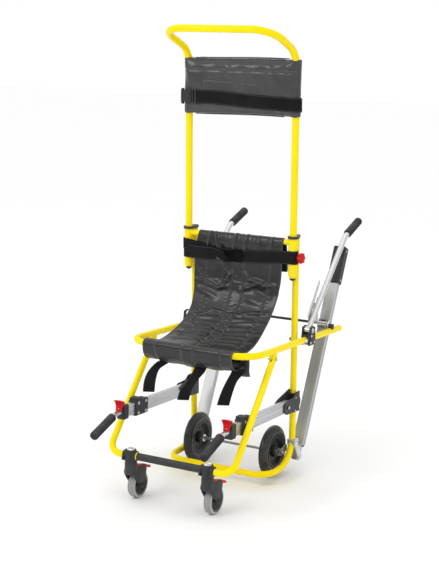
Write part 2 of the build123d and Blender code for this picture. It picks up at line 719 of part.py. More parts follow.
def castor_disc(side):
    disc = Cylinder(CASTOR_R - 14, CASTOR_WIDTH - 4) + Cylinder(11, CASTOR_WIDTH + 3)
    return Pos(side * CASTOR_X, *CASTOR_AXLE) * Rot(0, 90, 0) * (disc - Cylinder(4 + GAP, 60))


def brake_pedal(side):
    """Foot pedal hinged behind the swivel head, above the tyre."""
    x = side * CASTOR_X
    outline = [(-534, 118), (-500, 121), (-462, 110), (-452, 102)]
    outline += [(-456, 97), (-480, 106), (-512, 108), (-534, 107)]
    reach = CHEEK_MIDDLE - 2.2
    return plate(x, outline, 31, 1.5) + pin(x - reach, x + reach, (-528, 112), 3)


for name, side in SIDES.items():
    save(f"castor_fork_{name}", castor_fork(side))
    save(f"castor_tyre_{name}", castor_tyre(side))
    save(f"castor_disc_{name}", castor_disc(side))
    save(f"brake_pedal_{name}", brake_pedal(side))
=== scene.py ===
import math

import bmesh
import bpy
import numpy as np
from mathutils import Euler, Matrix, Vector


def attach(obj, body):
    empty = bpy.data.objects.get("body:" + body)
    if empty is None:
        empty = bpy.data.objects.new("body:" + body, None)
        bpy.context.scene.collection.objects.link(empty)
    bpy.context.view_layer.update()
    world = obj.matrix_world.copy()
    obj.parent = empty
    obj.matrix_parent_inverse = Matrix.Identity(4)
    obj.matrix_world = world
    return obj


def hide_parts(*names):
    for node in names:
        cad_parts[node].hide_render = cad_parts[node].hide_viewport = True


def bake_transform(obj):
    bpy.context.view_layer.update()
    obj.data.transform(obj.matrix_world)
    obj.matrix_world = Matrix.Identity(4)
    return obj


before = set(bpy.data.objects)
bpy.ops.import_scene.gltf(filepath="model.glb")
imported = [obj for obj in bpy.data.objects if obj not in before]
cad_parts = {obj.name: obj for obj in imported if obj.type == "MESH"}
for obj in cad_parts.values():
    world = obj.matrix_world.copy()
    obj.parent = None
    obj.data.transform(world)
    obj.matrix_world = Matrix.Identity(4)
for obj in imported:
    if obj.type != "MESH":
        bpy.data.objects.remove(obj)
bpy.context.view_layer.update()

# ---- room, light and camera ----
# A pale seamless floor under a large soft sky, a broad key light from the sitter's right, a weaker
# fill from the other side and a strip behind, as for a catalogue picture of a piece of equipment.
scene = bpy.context.scene
scene.view_settings.view_transform = "Standard"


def clear():
    """Back to object mode with nothing selected."""
    if bpy.context.object and bpy.context.object.mode != "OBJECT":
        bpy.ops.object.mode_set(mode="OBJECT")
    bpy.ops.object.select_all(action="DESELECT")


def hold(obj):
    """Makes one object the selected and active one."""
    clear()
    obj.select_set(True)
    bpy.context.view_layer.objects.active = obj
    return obj


def settle(obj, name):
    """Names a piece and moves its place, turn and size into its mesh."""
    hold(obj)
    bpy.ops.object.transform_apply(location=True, rotation=True, scale=True)
    obj.name = name
    obj.data.name = name
    return obj


def feed(tree, socket, value):
    """Joins another node's socket to an input, or sets the input's plain value."""
    if isinstance(value, bpy.types.NodeSocket):
        tree.links.new(value, socket)
    else:
        socket.default_value = value


def add(tree, kind, inputs=None, **settings):
    """A shader node with its settings made and its inputs set or joined."""
    made = tree.nodes.new("ShaderNode" + kind)
    for key, value in settings.items():
        setattr(made, key, value)
    for key, value in (inputs or {}).items():
        feed(tree, made.inputs[key], value)
    return made


def noise(tree, where, scale, detail):
    inputs = {"Vector": where, "Scale": scale, "Detail": detail}
    return add(tree, "TexNoise", inputs).outputs["Fac"]


def finish(name, **sockets):
    """A new material: its node tree and its Principled shader with plain values set."""
    material = bpy.data.materials.new(name)
    material.use_nodes = True
    shader = material.node_tree.nodes["Principled BSDF"]
    for key, value in sockets.items():
        shader.inputs[key.replace("_", " ")].default_value = value
    return material, material.node_tree, shader


def aim_light(name, place, target, size, power, tint):
    lamp = bpy.data.lights.new(name, "AREA")
    lamp.shape = "RECTANGLE"
    lamp.size, lamp.size_y = size
    lamp.energy = power
    lamp.color = tint
    obj = bpy.data.objects.new(name, lamp)
    bpy.context.collection.objects.link(obj)
    obj.location = place
    obj.rotation_euler = (Vector(target) - Vector(place)).to_track_quat("-Z", "Y").to_euler()


def build_room():
    clear()
    bpy.ops.mesh.primitive_plane_add(size=40, location=(0, 0, 0))
    floor = settle(bpy.context.object, "studio_floor")
    paper, tree, shader = finish("studio_paper", Roughness=.85)
    where = add(tree, "TexCoord").outputs["Object"]
    mottle = noise(tree, where, 3.0, 3.0)
    tone = add(tree, "Mix", {"Factor": mottle, "A": (.95, .95, .95, 1), "B": (.975, .975, .975, 1)},
        data_type="RGBA")
    tree.links.new(tone.outputs["Result"], shader.inputs["Base Color"])
    floor.data.materials.append(paper)
    world = bpy.data.worlds.new("soft_sky")
    world.use_nodes = True
    tree = world.node_tree
    sky = tree.nodes["Background"]
    upward = add(tree, "SeparateXYZ", {"Vector": add(tree, "TexCoord").outputs["Object"]}).outputs["Z"]
    glow = add(tree, "MapRange", {"Value": upward, "From Min": 0.0, "From Max": 1.0, "To Min": .49,
        "To Max": 1.31})
    seen = add(tree, "LightPath").outputs["Is Camera Ray"]
    strength = add(tree, "Mix", {"Factor": seen, "A": glow.outputs["Result"], "B": 1.0})
    tree.links.new(strength.outputs["Result"], sky.inputs["Strength"])
    sky.inputs["Color"].default_value = (1, 1, 1, 1)
    scene.world = world
    middle = (0, 0, .9)
    aim_light("key_light", (-1.6, -3.4, 3.2), middle, (1.3, 1.3), 36, (1, .98, .96))
    aim_light("fill_light", (3.8, -1.4, 1.6), middle, (2.0, 2.6), 8, (.97, .985, 1))
    aim_light("back_light", (-1.2, 3.6, 2.8), middle, (2.2, 1.6), 14, (1, 1, 1))


build_room()

FOCAL_LENGTH, SENSOR = 81.66, 36.0
CAMERA_TURN, CAMERA_DROP, CAMERA_ROLL = 28.93, 12.0, .507
lens = bpy.data.cameras.new("camera")
lens.sensor_fit = "VERTICAL"
lens.sensor_height = SENSOR
lens.lens = FOCAL_LENGTH
camera = bpy.data.objects.new("camera", lens)
bpy.context.collection.objects.link(camera)
facing = Euler((math.radians(90 - CAMERA_DROP), 0, math.radians(CAMERA_TURN))).to_matrix()
facing = facing @ Matrix.Rotation(math.radians(CAMERA_ROLL), 3, "Z")
camera.matrix_world = Matrix.Translation((2.2939, -4.2419, 1.7778)) @ facing.to_4x4()
scene.camera = camera

# ---- yellow tube frame ----
# Uprights, lower hoop, seat tube, legs, sleeves and push handle: round aluminium tube, bent cold,
# welded where the sleeves and hangers meet it, and powder coated in one glossy yellow.


def group(name, inputs, outputs):
    """A shader node group with named inputs (socket, kind, value) and outputs (socket, kind)."""
    tree = bpy.data.node_groups.new(name, "ShaderNodeTree")
    for label, kind, value in inputs:
        socket = tree.interface.new_socket(label, in_out="INPUT", socket_type="NodeSocket" + kind)
        if value is not None:
            socket.default_value = value
    for label, kind in outputs:
        tree.interface.new_socket(label, in_out="OUTPUT", socket_type="NodeSocket" + kind)
    return tree, tree.nodes.new("NodeGroupInput").outputs, tree.nodes.new("NodeGroupOutput").inputs


def use(tree, name, inputs):
    """Places a node group in a material."""
    return add(tree, "Group", inputs, node_tree=bpy.data.node_groups[name]).outputs


def math_node(tree, operation, a, b=0.0):
    return add(tree, "Math", {0: a, 1: b}, operation=operation).outputs[0]


def times(tree, a, b):
    return math_node(tree, "MULTIPLY", a, b)


def plus(tree, a, b):
    return math_node(tree, "ADD", a, b)


def spread(tree, value, low, high, to_low, to_high):
    made = add(tree, "MapRange", {"Value": value, "From Min": low, "From Max": high, "To Min": to_low,
        "To Max": to_high})
    return made.outputs["Result"]


def blend_colour(tree, factor, a, b):
    """Colour a where the factor is 0, b where it is 1."""
    return add(tree, "Mix", {"Factor": factor, 6: a, 7: b}, data_type="RGBA").outputs[2]


def object_place(tree, turn=(0, 0, 0)):
    """Object coordinates, turned by a Mapping node."""
    where = add(tree, "TexCoord").outputs["Object"]
    return add(tree, "Mapping", {"Vector": where, "Rotation": turn}).outputs["Vector"]


def build_patina():
    """Large cloudy variation, small specks and a mask of rubbed edges."""
    tree, given, out = group("patina", [("Vector", "Vector", None), ("Scale", "Float", 6.0),
        ("Rub", "Float", .5)], [("Cloud", "Float"), ("Speck", "Float"), ("Edge", "Float")])
    cloud = noise(tree, given["Vector"], given["Scale"], 4.0)
    tree.links.new(spread(tree, cloud, .32, .68, 0, 1), out["Cloud"])
    fine = times(tree, given["Scale"], 22.0)
    speck = noise(tree, given["Vector"], fine, 2.0)
    tree.links.new(spread(tree, speck, .6, .74, 0, 1), out["Speck"])
    sharp = spread(tree, add(tree, "NewGeometry").outputs["Pointiness"], .52, .6, 0, 1)
    broken = spread(tree, speck, .4, .62, 0, 1)
    worn = times(tree, times(tree, sharp, broken), given["Rub"])
    tree.links.new(worn, out["Edge"])


def build_pebble():
    """Moulded or embossed grain: raised cells with soft valleys between them."""
    tree, given, out = group("pebble", [("Vector", "Vector", None), ("Scale", "Float", 500.0)],
        [("Height", "Float"), ("Valley", "Float")])
    cells = add(tree, "TexVoronoi", {"Vector": given["Vector"], "Scale": given["Scale"]},
        feature="SMOOTH_F1").outputs["Distance"]
    wide = times(tree, given["Scale"], .23)
    swell = noise(tree, given["Vector"], wide, 3.0)
    raised = spread(tree, cells, .1, .65, 1, 0)
    tree.links.new(plus(tree, raised, swell), out["Height"])
    tree.links.new(spread(tree, cells, .45, .8, 0, 1), out["Valley"])


def build_drawn():
    """Long fine lines that extruding, drawing or brushing leaves; the lines run along Z of the vector."""
    tree, given, out = group("drawn_lines", [("Vector", "Vector", None), ("Scale", "Float", 900.0)],
        [("Height", "Float"), ("Streak", "Float")])
    thin = add(tree, "Mapping", {"Vector": given["Vector"], "Scale": (1, 1, .012)}).outputs["Vector"]
    lines = noise(tree, thin, given["Scale"], 2.0)
    tree.links.new(lines, out["Height"])
    broad = times(tree, given["Scale"], .12)
    bands = noise(tree, thin, broad, 2.0)
    tree.links.new(spread(tree, bands, .3, .7, 0, 1), out["Streak"])


def build_dust():
    """Fine dust that settles on faces that look up."""
    tree, given, out = group("dust", [("Vector", "Vector", None), ("Amount", "Float", .3)], [("Mask", "Float")])
    up = add(tree, "SeparateXYZ", {"Vector": add(tree, "NewGeometry").outputs["Normal"]}).outputs["Z"]
    patch = noise(tree, given["Vector"], 26.0, 5.0)
    lying = times(tree, spread(tree, up, .25, 1.0, 0, 1), spread(tree, patch, .35, .7, .1, 1))
    tree.links.new(times(tree, lying, given["Amount"]), out["Mask"])


build_patina()
build_pebble()
build_drawn()
build_dust()


def surface(tree, shader, colour, roughness, height, strength):
    """Joins a finish's colour, roughness and fine relief to its shader."""
    feed(tree, shader.inputs["Base Color"], colour)
    feed(tree, shader.inputs["Roughness"], roughness)
    relief = add(tree, "Bump", {"Height": height, "Strength": strength, "Distance": .001})
    feed(tree, shader.inputs["Normal"], relief.outputs["Normal"])


def powder_coat(name, colour, shade):
    """Powder coat: faint orange peel, clouded gloss, and edges rubbed towards the metal."""
    material, tree, shader = finish(name, Coat_Weight=.06, Coat_Roughness=.12, IOR=1.5, Specular_IOR_Level=.1)
    where = object_place(tree)
    worn = use(tree, "patina", {"Vector": where, "Scale": 7.0, "Rub": .05})
    tone = blend_colour(tree, worn["Cloud"], colour, shade)
    tone = blend_colour(tree, worn["Edge"], tone, (.55, .52, .45, 1))
    gloss = plus(tree, spread(tree, worn["Cloud"], 0, 1, .3, .38), times(tree, worn["Speck"], .07))
    peel = noise(tree, where, 320.0, 2.0)
    surface(tree, shader, tone, gloss, peel, .09)
    return material


def paint_nodes(material, *nodes):
    """Gives carried-over CAD pieces their finish."""
    for node in nodes:
        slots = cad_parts[node].data.materials
        slots.clear()
        slots.append(material)


yellow_coat = powder_coat("yellow_powder_coat", (1.0, .815, 0.0, 1), (.99, .765, 0.0, 1))
paint_nodes(yellow_coat, "uprights", "lower_hoop", "handle_sleeves", "sling_crossbar", "upper_handle",
    "seat_frame", "legs", "leg_hangers")

# ---- sling seat ----
# One length of black padded vinyl: sewn in a loop round the crossbar, hung to the seat's front tube,
# rolled over that tube and brought back underneath.  Its edges are bound, and three double rows of
# stitching run along it and one across it.
SLING_HALF, SLING_SHIFT = .185, .003
SLING_LINE = [(.101, .802), (.099, .845), (.093, .885), (.086, .913), (.08, .929), (.0679, .9388), (.056, .932),
    (.0545, .92), (.059, .89), (.0599, .86), (.0589, .79), (.05, .745), (.0379, .705), (-.0061, .64),
    (-.0841, .597), (-.1931, .571), (-.2561, .5725), (-.308, .5835), (-.3221, .5858), (-.337, .581),
    (-.3425, .5697), (-.3405, .552), (-.3361, .5345), (-.3071, .5092), (-.2701, .5125), (-.2261, .521),
    (-.1841, .545)]
SLING_TOP = 5  # the point of the line that lies on top of the crossbar
SLING_ROWS, SLING_COLUMNS = 148, 52
SEAM_ROWS = (-.137, -.0245, .0245, .137)
WAIST, WAIST_AT, WAIST_RUN = .075, .345, .125  # how much the edges are drawn in over the hollow
HEM_START = .7  # where the roll has passed the front of the tube
CROSS_SEAM = .19


def smooth_run(points, steps=24):
    """A smooth line through the points, as (length along it, points)."""
    spots = [np.array(point, float) for point in points]
    spots = [2 * spots[0] - spots[1], *spots, 2 * spots[-1] - spots[-2]]
    run = []
    for before, a, b, after in zip(spots, spots[1:], spots[2:], spots[3:]):
        square, cube = 2 * before - 5 * a + 4 * b - after, 3 * a - before - 3 * b + after
        for t in np.arange(steps) / steps:
            run.append(.5 * (2 * a + (b - before) * t + square * t * t + cube * t ** 3))
    run = np.array(run + [spots[-2]])
    length = np.r_[0, np.cumsum(np.linalg.norm(np.diff(run, axis=0), axis=1))]
    return length, run


def read_points(mesh):
    flat = np.empty(len(mesh.vertices) * 3)
    mesh.vertices.foreach_get("co", flat)
    return flat.reshape(-1, 3)


def write_points(mesh, points):
    mesh.vertices.foreach_set("co", np.asarray(points, float).ravel())
    mesh.update()


def store(mesh, name, values):
    layer = mesh.attributes.get(name) or mesh.attributes.new(name, "FLOAT", "POINT")
    layer.data.foreach_set("value", np.asarray(values, np.float32))


def stored(mesh, name):
    values = np.empty(len(mesh.vertices), np.float32)
    mesh.attributes[name].data.foreach_get("value", values)
    return values.astype(float)


def grid_sheet(name, columns, rows, place):
    """A grid laid out by place(across 0..1, along 0..1) -> points, with both kept as attributes."""
    clear()
    bpy.ops.mesh.primitive_grid_add(x_subdivisions=columns, y_subdivisions=rows, size=2)
    piece = bpy.context.object
    piece.name = name
    flat = (read_points(piece.data) + 1) / 2
    write_points(piece.data, place(flat[:, 0], flat[:, 1]))
    return piece, flat[:, 0], flat[:, 1]


def smooth(piece):
    piece.data.polygons.foreach_set("use_smooth", [True] * len(piece.data.polygons))


def lay_uv(piece, across, along):
    """A UV map in metres from two point attributes."""
    mesh = piece.data
    layer = mesh.uv_layers[0] if mesh.uv_layers else mesh.uv_layers.new(name="UVMap")
    corner = np.empty(len(mesh.loops), int)
    mesh.loops.foreach_get("vertex_index", corner)
    layer.data.foreach_set("uv", np.c_[across[corner], along[corner]].astype(np.float32).ravel())


def apply(piece, kind, **settings):
    """Adds one modifier, sets it up and applies it."""
    hold(piece)
    made = piece.modifiers.new(kind.lower(), kind)
    for key, value in settings.items():
        setattr(made, key, value)
    bpy.ops.object.modifier_apply(modifier=made.name)
    return piece


def run_cloth(piece, pinned, frames, cap, stiff, bend, pressure=0.0, gravity=0.0, slack=0.0):
    """Simulates the piece as cloth, then keeps the result within cap of where each point began."""
    hold(piece)
    start = read_points(piece.data)
    if pinned is not None:
        held = piece.vertex_groups.new(name="held")
        for index in np.flatnonzero(pinned > .01):
            held.add([int(index)], float(pinned[index]), "REPLACE")
    made = piece.modifiers.new("cloth", "CLOTH")
    cloth = made.settings
    cloth.quality = 6
    cloth.mass = .25
    cloth.tension_stiffness = cloth.compression_stiffness = stiff
    cloth.bending_stiffness = bend
    cloth.shrink_min = -slack
    cloth.effector_weights.gravity = gravity
    if pinned is not None:
        cloth.vertex_group_mass = "held"
    if pressure:
        cloth.use_pressure = True
        cloth.uniform_pressure_force = pressure
    made.collision_settings.use_collision = False
    made.point_cache.frame_end = frames
    for step in range(1, frames + 1):
        scene.frame_set(step)
    bpy.ops.object.modifier_apply(modifier=made.name)
    scene.frame_set(1)
    moved = read_points(piece.data) - start
    reach = np.linalg.norm(moved, axis=1)
    kept = np.minimum(reach, cap * np.tanh(reach / cap)) / np.maximum(reach, 1e-9)
    write_points(piece.data, start + moved * kept[:, None])
    piece.vertex_groups.clear()


def ridges(across, along, folds):
    """Height of a set of folds (x0, s0, x1, s1, width, height), each a soft ridge between two points."""
    height = np.zeros_like(across)
    for x0, s0, x1, s1, width, rise in folds:
        run = np.array([x1 - x0, s1 - s0])
        t = ((across - x0) * run[0] + (along - s0) * run[1]) / (run @ run)
        inside = np.clip(t, 0, 1)
        away = np.hypot(across - x0 - inside * run[0], along - s0 - inside * run[1])
        height += rise * np.exp(-(away / width) ** 2) * (.35 + .65 * np.sin(np.pi * np.clip(inside, .08, .92)))
    return height


SLING_FOLDS = [
    # gathers that fall from the crossbar
    (-.13, .004, -.136, .078, .006, .0045), (-.121, .004, -.124, .07, .007, -.0035),
    (-.112, .008, -.078, .092, .006, .005), (-.097, .01, -.064, .086, .008, -.004),
    (-.01, 0.0, -.026, .086, .006, .005), (.002, .004, -.012, .08, .008, -.003),
    (.036, 0.0, .025, .08, .006, .0045), (.048, .004, .04, .072, .008, -.0035),
    (.142, .006, .13, .066, .006, .0035), (.088, .01, .08, .06, .01, .0025),
    # creases where the back is pulled in above the seat
    (-.105, .084, -.028, .166, .01, .007), (-.028, .166, -.07, .222, .009, .006),
    (-.075, .13, -.06, .2, .014, -.005), (-.02, .11, -.01, .16, .012, -.003),
    (-.135, .204, -.08, .225, .007, .0045), (-.08, .225, -.033, .214, .007, .004),
    (-.165, .15, -.14, .19, .01, .003), (-.17, .235, -.09, .262, .012, .0025),
    (.03, .152, .062, .182, .007, .0045), (.062, .181, .108, .188, .007, .005),
    (.108, .189, .02, .222, .008, .0045), (.108, .201, .168, .19, .007, .0035),
    (.06, .205, .15, .235, .012, -.0035), (.04, .25, .13, .27, .014, .0025),
    # small cross wrinkles in the hollow of the seat
    (-.17, .345, -.085, .318, .007, .004), (-.085, .318, -.03, .322, .006, .0035),
    (-.01, .33, .06, .326, .006, .0035), (.06, .318, .172, .303, .007, .0045),
    (-.15, .362, -.04, .35, .007, .0035), (0.0, .356, .115, .345, .006, .0035),
    (-.12, .388, -.02, .378, .007, .003), (.03, .372, .17, .352, .006, .0035),
    (-.165, .408, -.06, .402, .007, .003), (.01, .403, .14, .388, .006, .0032),
    (-.1, .432, .02, .424, .007, .0028), (.04, .428, .175, .41, .006, .0032),
    (-.17, .455, -.07, .448, .007, .003), (0.0, .456, .142, .442, .006, .003),
    (-.13, .482, 0.0, .476, .008, .0026), (.04, .482, .17, .47, .007, .0028),
    (-.16, .512, -.05, .506, .008, .0028), (.01, .512, .15, .5, .008, .0024),
    (-.09, .545, .06, .538, .009, .002), (-.17, .58, -.06, .57, .01, .0022), (.06, .575, .17, .566, .01, .0022),
]


def build_sling():
    length, run = smooth_run(SLING_LINE)
    top = length[SLING_TOP * 24]
    near = [seam + step for seam in SEAM_ROWS for step in (-.0035, 0, .0035)]
    even = [x for x in np.linspace(-SLING_HALF, SLING_HALF, SLING_COLUMNS - 11)
        if min(abs(x - s) for s in near) > .0028]
    columns = np.array(sorted(even + near))

    def on_line(along):
        return np.interp(along, length, run[:, 0]), np.interp(along, length, run[:, 1])

    def place(across, along):
        x = columns[np.rint(across * (len(columns) - 1)).astype(int)]
        y, z = on_line(along * length[-1])
        down = along * length[-1] - top
        pulled = 1 - WAIST * np.exp(-((down - WAIST_AT) / WAIST_RUN) ** 2)
        shove = .01 * np.exp(-(down / .06) ** 2) - .006 * np.exp(-((down - .16) / .08) ** 2)
        left = np.clip(-x / SLING_HALF, 0, 1) * shove
        sag = np.clip((down - HEM_START) / .03, 0, 1) * (.0075 * np.cos(x * 8.4) + .0018 * np.sin(x * 61 + 1))
        return np.c_[x * pulled + left + SLING_SHIFT, y, z - sag]

    sling, sideways, down = grid_sheet("sling", len(columns) - 1, SLING_ROWS, place)
    mesh = sling.data
    store(mesh, "across", columns[np.rint(sideways * (len(columns) - 1)).astype(int)])
    store(mesh, "along", down * length[-1] - top)
    along = stored(mesh, "along")
    held = np.clip(np.maximum((.03 - along) / .025, (along - .6) / .06), 0, 1)
    run_cloth(sling, held, 26, .011, 12.0, .35, gravity=.25, slack=.035)
    apply(sling, "SUBSURF", levels=1, render_levels=1)
    mesh = sling.data
    across, along = stored(mesh, "across"), stored(mesh, "along")
    slope_y, slope_z = (np.interp(along + top, length, np.gradient(run[:, k], length)) for k in (0, 1))
    size = np.hypot(slope_y, slope_z)
    outward = np.c_[np.zeros_like(across), slope_z / size, -slope_y / size]
    free = np.clip((along + .004) / .01, 0, 1) * np.clip((.7 - along) / .04, 0, 1)
    lift = 1.9 * ridges(across, along, SLING_FOLDS) * free
    lift = np.maximum(lift, -.0008 - .006 * np.clip((along - .03) / .05, 0, 1))
    drawn_in = free * (.12 + .88 * np.clip((along - .25) / .09, 0, 1) * np.clip((.56 - along) / .08, 0, 1))
    for seam in SEAM_ROWS:
        lift -= .0018 * np.exp(-((across - seam) / .003) ** 2)
        beat = np.sin(along * 330 + 9 * np.sin(along * 23 + seam * 40) + np.sign(across - seam) * across * 60)
        lift += .0024 * drawn_in * beat * np.exp(-((np.abs(across - seam) - .008) / .0085) ** 2)
    beat = np.sin(along * 280 + across * 90 + 5 * np.sin(along * 37) + 2 * np.sin(along * 83))
    lift += .0022 * drawn_in * (np.abs(across) < .0225) * beat
    lift -= .0013 * np.exp(-((along - CROSS_SEAM - .004 * np.sin(across * 30)) / .003) ** 2)
    lift += .0012 * (np.abs(across) < .0245) * np.clip(along / .02, 0, 1)
    write_points(mesh, read_points(mesh) + outward * lift[:, None])
    lay_uv(sling, across, along)
    edges = [np.flatnonzero(np.abs(across - side * SLING_HALF) < 1e-5) for side in (-1, 1)]
    rims = [read_points(mesh)[edge[np.argsort(along[edge])]] for edge in edges]
    apply(sling, "SOLIDIFY", thickness=.0036, offset=0, use_even_offset=False)
    smooth(sling)
    return sling, rims, float(length[-1])


def build_stitches():
    """A row of thread along a line of the UV map, lying in a shallow pulled-in groove."""
    tree, given, out = group("stitch_row", [("Across", "Float", 0.0), ("Along", "Float", 0.0),
        ("Line", "Float", 0.0), ("Pitch", "Float", .0045)], [("Thread", "Float"), ("Groove", "Float")])
    away = math_node(tree, "ABSOLUTE", math_node(tree, "SUBTRACT", given["Across"], given["Line"]))
    step = math_node(tree, "FRACT", math_node(tree, "DIVIDE", given["Along"], given["Pitch"]))
    dash = math_node(tree, "LESS_THAN", step, .68)
    thread = times(tree, spread(tree, away, .0006, .0011, 1, 0), dash)
    tree.links.new(thread, out["Thread"])
    tree.links.new(spread(tree, away, .0008, .0035, 1, 0), out["Groove"])


build_stitches()


def vinyl_finish(name, lines=(), cross_lines=(), tone=(.012, .012, .013, 1), light=(.022, .022, .023, 1)):
    """Coated upholstery cloth: fine embossed grain, soft sheen, scuffed high spots and sewn rows."""
    material, tree, shader = finish(name, Sheen_Weight=.03, Sheen_Roughness=.5, IOR=1.5, Specular_IOR_Level=.26,
        Coat_Weight=.34, Coat_Roughness=.16)
    where = object_place(tree)
    grain = use(tree, "pebble", {"Vector": where, "Scale": 620.0})
    worn = use(tree, "patina", {"Vector": where, "Scale": 9.0, "Rub": .6})
    colour = blend_colour(tree, worn["Cloud"], tone, light)
    colour = blend_colour(tree, times(tree, grain["Valley"], .35), colour, (.03, .03, .032, 1))
    colour = blend_colour(tree, worn["Edge"], colour, (.12, .12, .125, 1))
    height = times(tree, grain["Height"], .22)
    uv = add(tree, "SeparateXYZ", {"Vector": add(tree, "UVMap").outputs["UV"]}).outputs
    sewn = [(uv["X"], uv["Y"], line) for line in lines] + [(uv["Y"], uv["X"], line) for line in cross_lines]
    for across, along, line in sewn:
        row = use(tree, "stitch_row", {"Across": across, "Along": along, "Line": line})
        colour = blend_colour(tree, times(tree, row["Thread"], .5), colour, (.13, .13, .135, 1))
        height = math_node(tree, "SUBTRACT", height, times(tree, row["Groove"], .9))
        height = plus(tree, height, times(tree, row["Thread"], .7))
    surface(tree, shader, colour, spread(tree, worn["Cloud"], 0, 1, .3, .4), height, .55)
    return material


def dress(piece, material, body, nodes=(), smooth_angle=None):
    """Finish, body, material slot and the CAD nodes that a piece stands for."""
    piece.data.materials.clear()
    piece.data.materials.append(material)
    if smooth_angle:
        hold(piece)
        bpy.ops.object.shade_smooth_by_angle(angle=math.radians(smooth_angle))
    if body:
        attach(piece, body)
    if nodes:
        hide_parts(*nodes)
    return piece


def joined(name, *pieces):
    """Several meshes made one piece."""
    clear()
    for piece in pieces:
        piece.select_set(True)
    bpy.context.view_layer.objects.active = pieces[0]
    if len(pieces) > 1:
        bpy.ops.object.join()
    return settle(bpy.context.object, name)


def bound_edge(name, rims, radius):
    """Folded binding sewn over an open edge, drawn along the edge's own points."""
    parts = []
    for rim in rims:
        clear()
        bpy.ops.curve.primitive_nurbs_path_add()
        line = bpy.context.object
        spline = line.data.splines[0]
        spline.points.add(len(rim) - len(spline.points))
        spline.points.foreach_set("co", np.c_[rim, np.ones(len(rim))].astype(np.float32).ravel())
        spline.order_u = 3
        spline.use_endpoint_u = True
        line.data.resolution_u = 1
        line.data.bevel_depth = radius
        line.data.bevel_resolution = 2
        line.data.use_fill_caps = True
        bpy.ops.object.convert(target="MESH")
        parts.append(bpy.context.object)
    return joined(name, *parts)


seam_lines = [seam + side * .003 for seam in SEAM_ROWS for side in (-1, 1)]
black_vinyl = vinyl_finish("black_vinyl", seam_lines, [CROSS_SEAM])
binding_tape = vinyl_finish("binding_tape", tone=(.028, .028, .03, 1), light=(.04, .04, .042, 1))
sling, sling_rims, sling_length = build_sling()
sling_edging = bound_edge("sling_edging", [rim[::2] for rim in sling_rims], .0028)
dress(sling, black_vinyl, None)
dress(sling_edging, binding_tape, None)
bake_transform(sling)
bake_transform(sling_edging)
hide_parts("back_sling", "sling_middle", "seat_sling")

# ---- headrest ----
# A flat padded cover of the same vinyl, wrapped round both tubes of the push handle.  Its top and
# bottom edges are bound, a seam crosses it a quarter of the way down, and a webbing head strap with
# a side-release buckle is sewn across the front.
HEAD_HALF, HEAD_BACK, HEAD_LOW, HEAD_HIGH = .249, .0679, 1.391, 1.607
HEAD_DEPTH = .0235
HEAD_SEAM = .765  # share of the height at which the seam runs


def build_headrest():
    """The pad: a rounded slab, remeshed and blown up a little as cloth, then pinched along its seams."""
    clear()
    height = HEAD_HIGH - HEAD_LOW
    bpy.ops.mesh.primitive_cube_add(size=2, location=(0, HEAD_BACK, (HEAD_LOW + HEAD_HIGH) / 2))
    pad = bpy.context.object
    pad.scale = (HEAD_HALF, HEAD_DEPTH, height / 2)
    settle(pad, "headrest_pad")
    bpy.ops.object.mode_set(mode="EDIT")
    mesh = bmesh.from_edit_mesh(pad.data)
    for edge in mesh.edges:  # the upright edges only
        edge.select = abs(edge.verts[0].co.z - edge.verts[1].co.z) > .1
    bmesh.update_edit_mesh(pad.data)
    bpy.ops.mesh.select_mode(type="EDGE")
    bpy.ops.mesh.bevel(offset=.0205, segments=6)
    bpy.ops.mesh.select_all(action="SELECT")
    bpy.ops.object.mode_set(mode="OBJECT")
    apply(pad, "REMESH", mode="VOXEL", voxel_size=.0062)
    run_cloth(pad, None, 18, .006, 18.0, .8, pressure=3.0)
    apply(pad, "SUBSURF", levels=1, render_levels=1)
    points = read_points(pad.data)
    x, y, z = points.T
    front = np.clip((HEAD_BACK - y) / HEAD_DEPTH, -1, 1)
    rise = (z - HEAD_LOW) / height
    # pulled flat towards the top and bottom edges between the tubes, and flared at the lower corners
    edge = np.exp(-((rise - 1) / .1) ** 2) + np.exp(-(rise / .1) ** 2)
    between = 1 - np.clip((np.abs(x) - .19) / .03, 0, 1)
    y = HEAD_BACK - (HEAD_BACK - y) * (1 - .34 * edge * between)
    seam = np.exp(-((rise - HEAD_SEAM) / .013) ** 2) * (front > .2)
    y = y + .0022 * seam
    ripple = .0016 * np.sin(x * 34 + 1.3) * np.sin(rise * 5 + x * 9) + .0011 * np.sin(x * 71 + rise * 14)
    y = y - ripple * (front > .2) * (1 - edge)
    folds = ridges(x, z, [(-.205, 1.44, -.15, 1.405, .01, .0022), (.195, 1.6, .222, 1.46, .012, .0028),
        (.225, 1.57, .236, 1.42, .008, .0025), (-.232, 1.6, -.215, 1.52, .01, .0022),
        (.12, 1.592, .15, 1.5, .016, .0018), (-.06, 1.59, -.03, 1.53, .014, .0016),
        (.15, 1.4, .225, 1.425, .01, .0024), (-.1, 1.4, .02, 1.408, .008, .0016)])
    y = y - folds * (front > .2)
    z = z + .0022 * np.sin(x * 11 + .6) * edge
    write_points(pad.data, np.c_[x, y, z])
    lay_uv(pad, x, z)
    smooth(pad)
    return pad


headrest_pad = build_headrest()
head_seam_z = HEAD_LOW + HEAD_SEAM * (HEAD_HIGH - HEAD_LOW)
head_vinyl = vinyl_finish("headrest_vinyl", cross_lines=(head_seam_z + .004, head_seam_z - .004, HEAD_LOW + .01,
    HEAD_HIGH - .01), tone=(.04, .04, .043, 1), light=(.056, .056, .059, 1))
dress(headrest_pad, head_vinyl, "upper_handle", ["headrest"])


